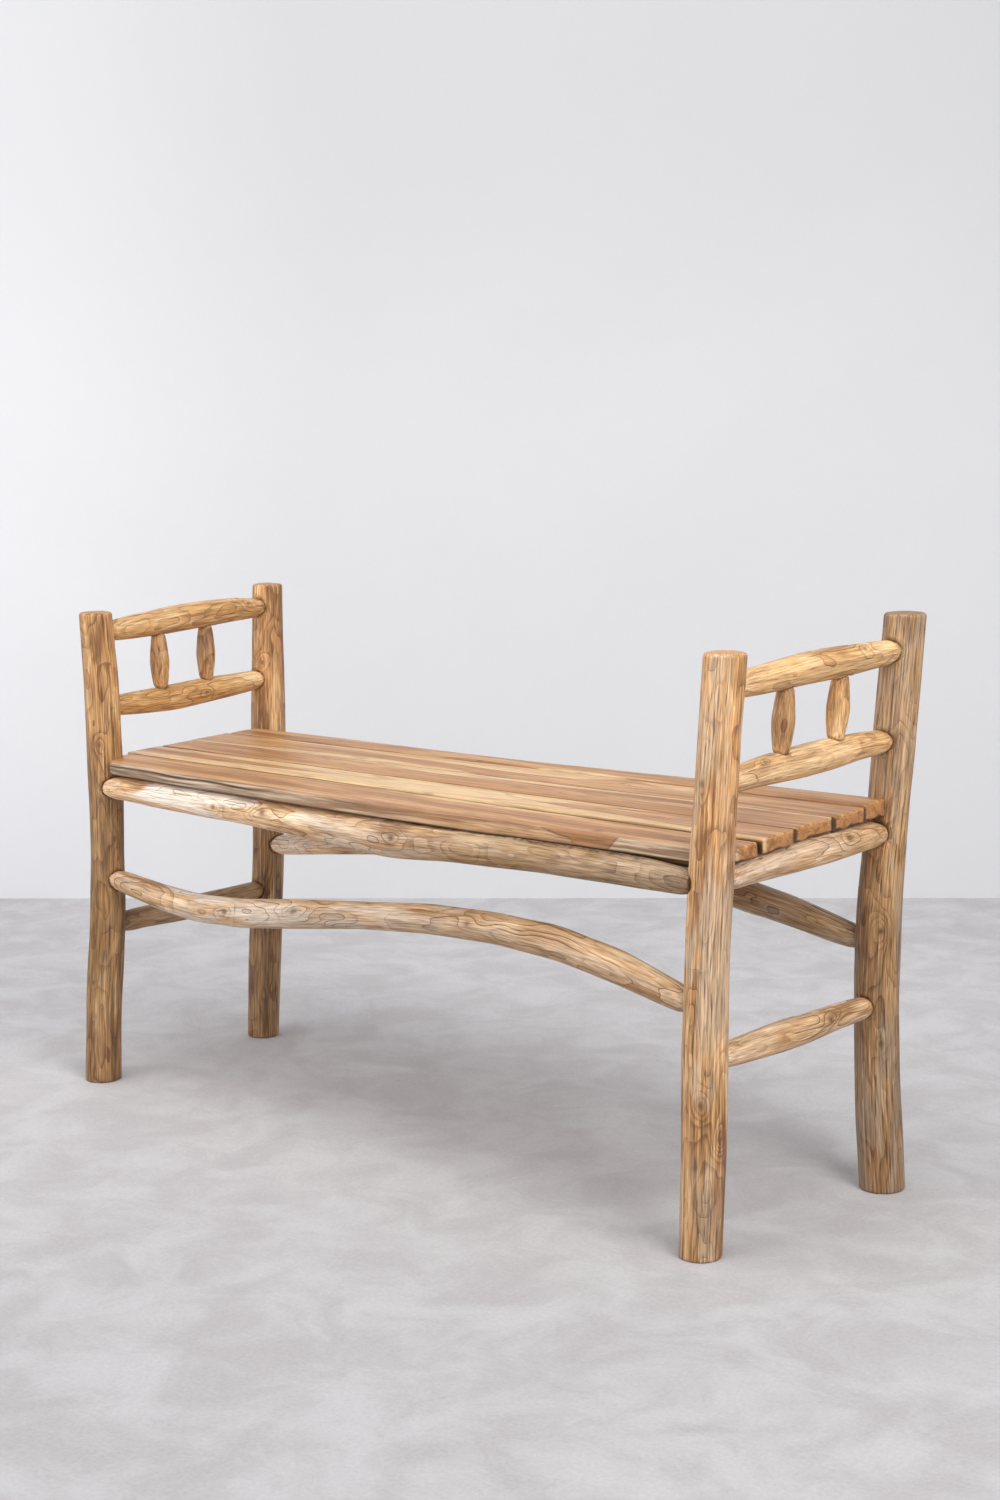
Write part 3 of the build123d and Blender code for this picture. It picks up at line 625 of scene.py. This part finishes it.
def board_loops(board, places, insets):
    """A board's section at each place, and its front and back edges there."""
    low, high = board.places[0], board.places[-1]
    corners = np.random.default_rng(900 + board.index).uniform(2.0 * MM, 6.0 * MM, 4)
    is_first = board.index == 0
    if is_first:
        steps = np.diff(board.front[:NOTCH_SAMPLES])
        jump = np.argmax(steps < -10 * MM) + 1  # where the cut for the post ends
    top_round = (3.5 if board.index in (0, LAST_BOARD) else 2.2) * MM
    loops, edges = [], []
    for place, inset in zip(places, insets):
        front, back = board.at(place, board.front), board.at(place, board.back)
        if is_first:
            if place < board.places[jump]:
                front = max(front, board.front[max(0, jump - 2)])
            front += round_cut(NOSE_ROUND, place - board.places[jump])
        front += round_cut(corners[0], place - low) + round_cut(corners[2], high - place)
        back -= round_cut(corners[1], place - low) + round_cut(corners[3], high - place)
        top = board.at(place, board.top)
        height = top - board.at(place, board.bottom) - 1.4 * inset
        loop = board_profile(back - front - 2 * inset, height, top_round, 19 if is_first else 7)
        loops.append(loop + (front + inset, top - inset))
        edges.append((front, back))
    return np.array(loops), np.array(edges)


def front_edge_marks(board, rows, places, share, straight):
    """The front board's grooves, facet, its dark outline, and how far the ridge reaches down."""
    below = board.at(places, board.top) - rows[..., 1]
    depth = below / MM
    wave = 1.2 * lattice_noise(straight * (0, 0, 14), board.seed + 8)
    on_edge = share < 0.02
    grooves = []
    for level, reach, strength in GROOVES:
        groove = np.exp(-((depth - level - 2 * wave) / 1.4) ** 2) * on_edge
        grooves.append(strength * groove * smooth_step(reach + 0.1, reach, places))
    limit = np.interp(places, *zip(*FACET)) + 1.2 * lattice_noise(straight * (0, 0, 60), board.seed + 9)
    facet = (depth < limit) * (share < 0.045)
    facet = facet * smooth_step(0.27, 0.29, places) * smooth_step(0.432, 0.43, places)
    outline = np.exp(-((depth - limit) / 1.1) ** 2)
    outline *= smooth_step(0.28, 0.30, places) * smooth_step(0.44, 0.43, places)
    upper_line = np.exp(-(depth - 2.5 - wave) ** 2)
    upper_line *= smooth_step(0.13, 0.17, places) * smooth_step(0.31, 0.29, places)
    drop = smooth_step(0.24, 0.32, places) * smooth_step(0.536, 0.526, places)
    drop = drop * smooth_step(0.08, 0.15, share) * smooth_step(0.75, 0.60, share)
    lowered = RIDGE_HEIGHT * drop * (below > 12 * MM)
    return grooves, facet, np.maximum(outline, upper_line) * on_edge, lowered


def painted_gap_shade(board, rows, places, share, scales, lowered, straight):
    """Where painted shade darkens a board: in the gaps beside its neighbours, below its ends, and on the
    ridge.
    """
    gap = smooth_step(0, 4 * MM, lowered)
    for number, on_side in ((board.index - 1, share < 0.03), (board.index + 1, share > 0.97)):
        if 0 <= number <= LAST_BOARD:
            other = boards[number]
            beside = (places > other.places[0]) & (places < other.places[-1] + 4 * MM) & on_side
            depth = other.at(places, other.top) - rows[..., 1]
            gap = np.maximum(gap, smooth_step(0.1 * MM, 1.3 * MM, depth) * beside * (scales > 0.94))
    height = rows[..., 1] - board.at(places, board.bottom)
    # Painted shade along the front board's lower edge, above the front rail.
    if board.index == 0:
        gap = np.maximum(gap, 0.9 * smooth_step(2.8 * MM, 1.0 * MM, height) * (share < 0.05))
    ragged = 2.2 * MM + 2.4 * MM * fractal_noise(straight * (80, 80, 1), board.seed + 11, 2)
    at_end = (places < board.places[0] + END_ROUND) | (places > board.places[-1] - END_ROUND)
    return np.maximum(gap, smooth_step(ragged + 1.2 * MM, ragged - 0.6 * MM, height) * at_end)


def make_board(board):
    """A board's surface, worked out in the seat's plane and then turned by its fall."""
    index, seed = board.index, board.seed
    low, high = board.places[0], board.places[-1]
    count = int((high - low) / BOARD_STEP)
    places, insets, scales = ring_rows(low, high, (END_ROUND, END_ROUND), BOARD_TURN, BOARD_CAP, count)
    rows, edges = board_loops(board, places, insets)
    scales = scales[:, None]
    centres = rows.mean(1, keepdims=True)
    rows = centres + (rows - centres) * scales[..., None]
    places = places[:, None] + np.zeros(rows.shape[:2])
    width = edges[:, 1:] - edges[:, :1]
    share = (rows[..., 0] - edges[:, :1]) / width  # across the board, from its front edge

    straight = np.stack([rows[..., 0], rows[..., 1], places + BOARD_SPACING * index], -1)
    relief = 0.25 * fractal_noise(straight * (22, 22, 5), seed, 2)
    relief += 0.10 * lattice_noise(straight * (260, 260, 14), seed + 3)
    live_edge = smooth_step(0.06, 0.0, share) * (index == 0)
    live_edge = live_edge + smooth_step(0.94, 1.0, share) * (index == LAST_BOARD)
    relief += 0.9 * live_edge * fractal_noise(straight * (90, 90, 12), seed + 5, 3)
    knot, flow, facet, outline, lowered = np.zeros((5, *share.shape))
    if index == 0:
        grooves, facet, outline, lowered = front_edge_marks(board, rows, places, share, straight)
        relief -= 2.4 * np.sum(grooves, axis=0)
        # The grooves also go into the knot mask, which paints them dark as shade under the edge's lip.
        knot = np.max(grooves, axis=0)
        live_edge = live_edge * np.interp(places, *zip(*WEATHERED))
    for place, where, size in BOARD_KNOTS[index]:
        sideways = (share - where) * width / MM
        along = (places - place) / MM
        flow += np.exp(-(sideways ** 2 + (along / 2.2) ** 2) / size ** 2)
        core = np.exp(-(sideways ** 2 + (along / 1.6) ** 2) / (0.3 * size) ** 2)
        knot = np.maximum(knot, 0.8 * core)
    table = np.array(HEART[index])
    front_limit, back_limit = (np.interp(places, table[:, 0], table[:, k]) for k in (1, 2))
    heart = np.minimum(share - front_limit, back_limit - share) * width / (10 * MM)
    gap = painted_gap_shade(board, rows, places, share, scales, lowered, straight)
    cap = smooth_step(0.3, 0.9, insets[:, None] / END_ROUND + 0 * share)

    on_face = (share > 0.02) & (share < 0.98)
    side = np.sign(rows[..., 1] - rows[..., 1].mean(1, keepdims=True)) * on_face
    outward = np.stack([1.0 * (share > 0.98) - (share < 0.02), side], -1)
    rows = rows + outward * relief[..., None] * MM
    across, up = rows[..., 0], rows[..., 1] - lowered
    rings = np.stack([
        places,
        across * math.cos(FALL) - up * math.sin(FALL),
        SEAT_HEIGHT + across * math.sin(FALL) + up * math.cos(FALL)], -1)
    rough = 0.9 * fractal_noise(straight * (70, 70, 1), seed + 12, 3) + 1.2 * (1 - scales ** 2)
    rings[..., 0] += rough * MM * (1.0 * (places > high - 1e-6) - (places < low + 1e-6))
    layers = {
        "log": straight,
        "mask": np.stack([knot, gap, cap], -1),
        "paint": np.stack([flow, heart, live_edge], -1),
        "tone": np.stack([facet, outline, 0 * facet], -1),
    }
    dress(board.node, f"seat_plank_{index + 1}", rings, layers, "board_wood")


# ------ materials
def srgb(*colour):
    """A colour as it is seen, from 0 to 255, in the shader's linear values."""
    shares = [value / 255 for value in colour]
    return (*(s / 12.92 if s < 0.04045 else ((s + 0.055) / 1.055) ** 2.4 for s in shares), 1)


class Graph:
    """A material's nodes. Its methods add a node or two and give what comes out of them."""

    def __init__(self, name, roughness):
        self.material = bpy.data.materials.new(name)
        self.material.use_nodes = True
        self.nodes = self.material.node_tree.nodes
        self.links = self.material.node_tree.links
        self.shader = self.nodes["Principled BSDF"]
        self.put("Roughness", roughness)

    def link(self, socket, value):
        if isinstance(value, bpy.types.NodeSocket):
            self.links.new(value, socket)
        else:
            socket.default_value = value

    def put(self, name, value):
        """Gives the shader one of its inputs."""
        self.link(self.shader.inputs[name], value)

    def add(self, kind, inputs, output=0, **settings):
        node = self.nodes.new("ShaderNode" + kind)
        for key, value in settings.items():
            setattr(node, key, value)
        for key, value in inputs.items():
            self.link(node.inputs[key], value)
        return node.outputs[output]

    def attribute(self, name):
        return self.add("Attribute", {}, output=1, attribute_name=name)

    def object_place(self):
        return self.add("TexCoord", {}, output=3)

    def split(self, vector):
        node = self.nodes.new("ShaderNodeSeparateXYZ")
        self.link(node.inputs[0], vector)
        return node.outputs

    def noise(self, place, cells, detail=2.0, distortion=0.0, roughness=0.5):
        """Noise with this many cells per metre along each axis."""
        vector = self.add("VectorMath", {0: place, 1: cells}, operation="MULTIPLY")
        return self.add("TexNoise", {"Vector": vector, "Scale": 1.0, "Detail": detail,
                                     "Roughness": roughness, "Distortion": distortion})

    def grain(self, place, across, along, **settings):
        """Noise by its cells per metre across and along the grain."""
        return self.noise(place, (across, across, along), **settings)

    def math(self, operation, first, second=0.0):
        return self.add("Math", {0: first, 1: second}, operation=operation)

    def times(self, first, second):
        return self.math("MULTIPLY", first, second)

    def plus(self, first, second):
        return self.math("ADD", first, second)

    def minus(self, first, second):
        return self.math("SUBTRACT", first, second)

    def scale(self, value, low, high, start, end, **settings):
        """From start at low to end at high."""
        return self.add("MapRange", {0: value, 1: low, 2: high, 3: start, 4: end}, **settings)

    def step(self, value, low, high, start=0.0, end=1.0):
        """The same with soft ends."""
        return self.scale(value, low, high, start, end, interpolation_type="SMOOTHSTEP")

    def mix(self, share, first, second, blend="MIX"):
        return self.add("Mix", {0: share, 6: first, 7: second}, output=2,
                        data_type="RGBA", blend_type=blend)

    def lay(self, colour, mask, amount, other):
        """Another colour laid over a colour where a mask is 1, by an amount."""
        return self.mix(self.times(mask, amount), colour, other)

    def shade(self, colour, brightness):
        """A colour times a brightness."""
        grey = self.add("CombineColor", {0: brightness, 1: brightness, 2: brightness})
        return self.mix(1.0, colour, grey, "MULTIPLY")

    def bump(self, strength, distance, height):
        self.put("Normal", self.add("Bump", {"Strength": strength, "Distance": distance, "Height": height}))


GOLD, GLINT, JOINT_SHADE = srgb(196, 146, 66), srgb(252, 232, 198), srgb(70, 46, 28)
HEARTWOOD = (srgb(212, 162, 110), srgb(158, 106, 60))
WARM_HEARTWOOD = srgb(184, 130, 76)
SAPWOOD = (srgb(224, 189, 142), srgb(202, 158, 104))
BOARD_LINE, BOARD_DASH = srgb(126, 80, 48), srgb(108, 68, 40)
WEATHERED_WOOD = (srgb(206, 184, 158), srgb(134, 106, 80))
FACET_WOOD, FACET_LINE = (srgb(172, 122, 74), srgb(132, 86, 46)), srgb(84, 52, 30)
END_WOOD, END_BLOTCH = (srgb(184, 128, 74), srgb(96, 56, 32)), srgb(128, 80, 44)
BOARD_KNOT_AND_GROOVE_SHADE, GAP_SHADE = srgb(84, 50, 30), srgb(46, 28, 16)
BEARER_WOOD = (srgb(196, 154, 108), srgb(156, 112, 72))
STEEL = (srgb(176, 176, 178), srgb(132, 132, 135))


def layer_lines(g, field, slope, repeat, low, high):
    """Lines of even width where a surface cuts the yearly layers of growth."""
    wave = g.math("PINGPONG", g.times(field, repeat), 0.5)
    distance = g.math("DIVIDE", wave, g.math("MAXIMUM", g.times(slope, repeat), 0.02))
    return g.step(distance, low, high, 1.0, 0.0)


def log_wood(name, colours, line_amount, dash_amount, comb_amount):
    """Peeled wood: three tones, grey and yellow patches, growth lines and short dark fibres, with painted
    shade at the joints.
    """
    light, middle, deep, line, grey = (srgb(*colour) for colour in colours)
    g = Graph(name, 0.5)
    place = g.attribute("log")
    knot, joint_shade, cap = g.split(g.attribute("mask"))
    field, slope, _ = g.split(g.attribute("paint"))
    dark, greyness, yellow = g.split(g.attribute("tone"))
    broad = g.grain(place, 55, 5, detail=3.0, distortion=0.5)
    cloud = g.grain(place, 22, 9, detail=2.5, distortion=0.6)
    medium = g.grain(place, 210, 11, detail=3.5, roughness=0.62)
    fibre = g.grain(place, 620, 26, detail=2.5, roughness=0.6)
    comb = g.grain(place, 430, 7, detail=3.0, roughness=0.6)
    dashes = g.step(g.grain(place, 430, 19), 0.60, 0.70)
    glints = g.step(g.grain(place, 380, 15), 0.36, 0.28)
    where = g.step(g.grain(place, 30, 9), 0.44, 0.58)
    lines = g.times(layer_lines(g, field, slope, 1.0, 0.15, 0.85), where)
    fine_lines = g.times(layer_lines(g, field, slope, 3.0, 0.1, 0.6), where)

    value = g.plus(g.times(broad, 0.34), g.times(cloud, 0.30))
    value = g.plus(value, g.times(medium, 0.36))
    value = g.plus(value, g.times(g.math("POWER", g.math("FRACT", field), 3.0), 0.10))
    colour = g.mix(g.step(value, 0.41, 0.50), light, middle)
    colour = g.mix(g.step(value, 0.51, 0.62), colour, deep)
    patch = g.step(g.grain(place, 38, 6, detail=3.0, distortion=0.7), 0.42, 0.60)
    colour = g.lay(colour, patch, greyness, grey)
    golden = g.step(g.grain(place, 24, 6.5, distortion=0.5), 0.46, 0.60)
    colour = g.lay(colour, golden, yellow, GOLD)
    colour = g.shade(colour, g.scale(fibre, 0.28, 0.72, 0.56, 1.34))
    colour = g.shade(colour, g.scale(comb, 0.32, 0.62, 1.0 - comb_amount, 1.0 + 0.3 * comb_amount))
    colour = g.lay(colour, glints, 0.25, GLINT)
    colour = g.lay(colour, dashes, dash_amount, line)
    colour = g.lay(colour, fine_lines, 0.20 * line_amount, line)
    colour = g.lay(colour, lines, line_amount, line)
    colour = g.lay(colour, knot, 0.8, line)

    x, y, _ = g.split(place)  # the rings of the sawn ends
    reach = g.math("SQRT", g.plus(g.times(x, x), g.times(y, y)))
    rings = g.plus(g.times(reach, 430.0), g.times(g.grain(place, 70, 1), 3.0))
    rings = g.step(g.math("PINGPONG", rings, 0.5), 0.0, 0.3, 1.0, 0.0)
    ends = g.lay(middle, rings, 0.45, line)
    ends = g.mix(g.step(g.grain(place, 700, 700), 0.45, 0.70), ends, deep)
    colour = g.mix(cap, colour, ends)
    # Darker by the log's tone table, which holds painted shade and light as well as the wood's own tone.
    colour = g.shade(colour, g.minus(1.0, dark))
    # Painted contact shade at the joints and under the boards, made uneven by a noise.
    shade_unevenness = g.step(g.grain(place, 150, 150), 0.30, 0.65, 0.35, 1.0)
    g.put("Base Color", g.lay(colour, joint_shade, g.times(shade_unevenness, 0.85), JOINT_SHADE))

    height = g.plus(g.times(fibre, 0.55), g.times(medium, 0.9))
    height = g.minus(height, g.times(lines, 0.30))
    g.bump(0.8, 0.0013, g.minus(height, g.times(dashes, 0.40)))
    g.put("Specular IOR Level", 0.45)
    return g.material


def board_wood():
    """Sawn wood: heartwood and sapwood, flowing lines, weathered edges and rough ends, with painted shade in
    the gaps, below the ends and in the front edge's grooves.
    """
    g = Graph("board_wood", 0.42)
    place = g.attribute("log")
    knot, gap, cap = g.split(g.attribute("mask"))
    flow, heart, live_edge = g.split(g.attribute("paint"))
    facet, outline, _ = g.split(g.attribute("tone"))
    fibre = g.grain(place, 620, 15, detail=2.5, roughness=0.6)
    medium = g.grain(place, 230, 5.5, detail=3.5, roughness=0.62)
    broad = g.grain(place, 48, 2.6, detail=2.5, distortion=0.3)
    dashes = g.step(g.grain(place, 470, 17), 0.60, 0.70)
    warm = g.step(g.grain(place, 9, 3, detail=1.5), 0.50, 0.66)
    wander = g.times(g.minus(g.grain(place, 110, 7), 0.5), 0.75)
    value = g.plus(g.times(broad, 0.5), g.times(medium, 0.5))
    tan = g.lay(g.mix(g.step(value, 0.38, 0.60), *HEARTWOOD), warm, 0.65, WARM_HEARTWOOD)
    cream = g.mix(g.step(value, 0.40, 0.64), *SAPWOOD)
    colour = g.mix(g.step(g.plus(heart, wander), -0.12, 0.12), cream, tan)
    field = g.times(g.grain(place, 17, 1.5, detail=1.6, distortion=0.35), 11.0)
    lines = g.step(g.math("PINGPONG", g.plus(field, flow), 0.5), 0.02, 0.13, 1.0, 0.0)
    colour = g.lay(colour, lines, 0.36, BOARD_LINE)
    colour = g.shade(colour, g.scale(fibre, 0.28, 0.72, 0.72, 1.20))
    colour = g.lay(colour, dashes, 0.42, BOARD_DASH)
    colour = g.lay(colour, live_edge, 0.95, g.mix(g.step(medium, 0.36, 0.62), *WEATHERED_WOOD))
    colour = g.lay(colour, facet, 0.9, g.mix(medium, *FACET_WOOD))
    colour = g.lay(colour, outline, 0.8, FACET_LINE)
    whirl = g.times(g.grain(place, 120, 1, detail=1.0, distortion=0.6), 14.0)
    rings = g.step(g.math("PINGPONG", whirl, 0.5), 0.0, 0.25, 1.0, 0.0)
    blotch = g.step(g.grain(place, 75, 1, detail=3.0, distortion=0.8), 0.46, 0.62)
    ends = g.lay(g.mix(g.times(rings, 0.7), *END_WOOD), blotch, 0.8, END_BLOTCH)
    colour = g.lay(colour, cap, 0.92, ends)
    # Knots, and painted shade in the front board's grooves.
    colour = g.lay(colour, knot, 0.85, BOARD_KNOT_AND_GROOVE_SHADE)
    # Painted shade in the gaps between boards, below their ends and on the ridge under the front board.
    g.put("Base Color", g.lay(colour, gap, 0.92, GAP_SHADE))
    height = g.plus(g.times(fibre, 0.7), g.times(medium, 0.7))
    g.bump(0.6, 0.0009, g.minus(height, g.times(dashes, 0.5)))
    return g.material


def steel():
    g = Graph("screw_steel", 0.35)
    g.put("Base Color", g.mix(g.grain(g.object_place(), 900, 900), *STEEL))
    g.put("Metallic", 1.0)
    return g.material


def bearer_wood():
    """Plain sawn wood, with its grain along Y."""
    g = Graph("bearer_wood", 0.7)
    place = g.object_place()
    fibre = g.noise(place, (700, 20, 700), detail=2.5)
    streak = g.noise(place, (90, 5, 90))
    colour = g.mix(g.step(streak, 0.3, 0.7), *BEARER_WOOD)
    g.put("Base Color", g.shade(colour, g.scale(fibre, 0.25, 0.75, 0.8, 1.1)))
    g.bump(0.5, 0.0006, fibre)
    return g.material


DARK_LINE = (92, 60, 36)
# Light, middle and deep wood, growth lines and grey patches, as seen, then how strongly
# the lines, the dark dashes and the comb of fine streaks show
LOG_WOODS = {
    "post_wood": ((232, 186, 134), (200, 150, 98), (146, 100, 60), (84, 54, 32), (206, 184, 158),
                  0.16, 0.75, 0.46),
    "arm_wood": ((236, 198, 148), (216, 170, 116), (178, 128, 80), DARK_LINE, (212, 186, 152),
                 0.60, 0.50, 0.16),
    "rail_wood": ((232, 202, 164), (208, 168, 126), (166, 124, 84), DARK_LINE, (226, 212, 196),
                  0.75, 0.40, 0.14),
    "spindle_wood": ((232, 190, 138), (202, 152, 100), (150, 102, 62), DARK_LINE, (214, 184, 146),
                     0.25, 0.50, 0.20),
}
materials = {name: log_wood(name, values[:5], *values[5:]) for name, values in LOG_WOODS.items()}
materials["board_wood"] = board_wood()

for node in POSTS:
    make_log(node, "post", around=96, step=2.2 * MM, slot="post_wood")
for node in SIDE_RAILS:
    make_log(node, "rail", around=72, step=2.2 * MM, slot="arm_wood" if "arm" in node else "rail_wood")
for node in LONG_RAILS:
    make_log(node, "rail", around=80, step=2.6 * MM, slot="rail_wood")
for node in SPINDLES:
    make_log(node, "spindle", around=56, step=1.2 * MM, slot="spindle_wood")
for board in boards:
    make_board(board)
for node, material in (("seat_bearer", bearer_wood()), ("seat_screws", steel())):
    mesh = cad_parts[node].data
    mesh.materials.clear()
    mesh.materials.append(material)

# ------ camera
CAMERA_PLACE = (2.13175, -2.21830, 0.95580)  # solved from the photo
YAW, PITCH, ROLL = (math.radians(angle) for angle in (-42.891, 8.140, -0.671))
SENSOR, LENS = 36, 56.4  # mm

ahead = Vector((math.sin(YAW) * math.cos(PITCH), math.cos(YAW) * math.cos(PITCH), -math.sin(PITCH)))
level = Vector((math.cos(YAW), -math.sin(YAW), 0))
upward = level.cross(ahead)
turned_right = level * math.cos(ROLL) + upward * math.sin(ROLL)
turned_up = -level * math.sin(ROLL) + upward * math.cos(ROLL)
camera = new_object("camera", bpy.data.cameras.new("camera"))
rotation = Matrix((turned_right, turned_up, -ahead)).transposed()
camera.matrix_world = Matrix.Translation(CAMERA_PLACE) @ rotation.to_4x4()
camera.data.sensor_width = SENSOR
camera.data.lens = LENS
bpy.context.scene.camera = camera

# ------ floor and wall
STAGE_REACH = 14  # metres from the middle
WALL_HEIGHT = 6
WALL_LINE = (Vector((-1.7749, 0.5005, 0)), Vector((-0.2397, 1.7771, 0)))  # on the floor


def quad(name, corners, material):
    mesh = bpy.data.meshes.new(name)
    mesh.from_pydata([tuple(corner) for corner in corners], [], [(0, 1, 2, 3)])
    mesh.materials.append(material)
    made = new_object(name, mesh)


def plaster(name, light, dark, clouds, speckle):
    """The graph, the place and the colour of a cloudy and finely speckled surface."""
    g = Graph(name, 0.9)
    place = g.object_place()
    cloud = g.grain(place, clouds, clouds, detail=8.0, distortion=0.6, roughness=0.66)
    speck = g.grain(place, 190, 190, detail=4.0, roughness=0.75)
    colour = g.mix(g.step(cloud, 0.34, 0.66), light, dark)
    colour = g.shade(colour, g.scale(speck, 0.3, 0.7, 1.0 - speckle, 1.0 + 0.8 * speckle))
    g.bump(0.15, 0.001, speck)
    g.put("Specular IOR Level", 0.1)
    return g, place, colour


def floor_concrete():
    """Concrete with a painted light gradient: darker in front of the bench than behind it and brighter again
    far in front.
    """
    g, place, colour = plaster("floor_concrete", srgb(201, 199, 200), srgb(188, 184, 185), 9.0, 0.085)
    x, y, _ = g.split(place)
    behind = g.minus(y, x)
    bright = g.plus(g.step(behind, -1.6, 1.2, 0.77, 1.08), g.step(behind, -3.0, -6.0, 0.0, 0.4))
    g.put("Base Color", g.shade(colour, bright))
    return g.material


def wall_plaster():
    """Plaster with painted light, brighter at the left and darker at the top, that isn't seen from behind."""
    g, place, colour = plaster("wall_plaster", srgb(219, 219, 221), srgb(217, 217, 219), 0.8, 0.008)
    x, _, z = g.split(place)
    bright = g.plus(g.step(x, -1.85, -1.20, 0.15, 0.0), g.step(z, 0.8, 1.6, 1.0, 0.91))
    g.put("Base Color", g.shade(colour, bright))
    from_behind = g.add("NewGeometry", {}, output=6)
    clear = g.add("BsdfTransparent", {})
    both = g.add("MixShader", {0: from_behind, 1: g.shader.outputs[0], 2: clear})
    g.links.new(both, g.nodes["Material Output"].inputs[0])
    return g.material


floor_corners = [(x * STAGE_REACH, y * STAGE_REACH, 0) for x, y in ((-1, -1), (1, -1), (1, 1), (-1, 1))]
quad("floor", floor_corners, floor_concrete())
wall_middle = (WALL_LINE[0] + WALL_LINE[1]) / 2
wall_run = (WALL_LINE[1] - WALL_LINE[0]).normalized() * STAGE_REACH
wall_corners = [wall_middle - wall_run, wall_middle + wall_run]
wall_corners += [corner + Vector((0, 0, WALL_HEIGHT)) for corner in reversed(wall_corners)]
quad("wall", wall_corners, wall_plaster())


# ------ light
def softbox(name, place, target, size, power, colour=(1, 1, 1)):
    data = bpy.data.lights.new(name, "AREA")
    data.shape = "RECTANGLE"
    data.size, data.size_y = size
    data.energy = power
    data.color = colour
    lamp = new_object(name, data)
    lamp.location = place
    lamp.rotation_euler = (Vector(target) - Vector(place)).to_track_quat("-Z", "Y").to_euler()


softbox("overhead", (0.7, -0.9, 2.65), target=(0, 0, 0), size=(2.4, 1.8), power=34)
softbox("front_box", (-0.6, -3.0, 1.8), target=(0, 0, 0.4), size=(1.8, 1.4), power=28)
softbox("right_box", (2.7, -0.8, 1.8), target=(0, 0, 0.4), size=(1.4, 1.4), power=50, colour=(1, 0.985, 0.96))
softbox("wall_box", (-2.7, -2.6, 1.7), target=(-2.2, 0.2, 1.2), size=(1.8, 1.8), power=17)
world = bpy.data.worlds.new("studio")
bpy.context.scene.world = world
world.use_nodes = True
background = world.node_tree.nodes["Background"]
background.inputs["Color"].default_value = (0.93, 0.96, 1.0, 1)
background.inputs["Strength"].default_value = 0.63
bpy.context.scene.view_settings.view_transform = "Standard"
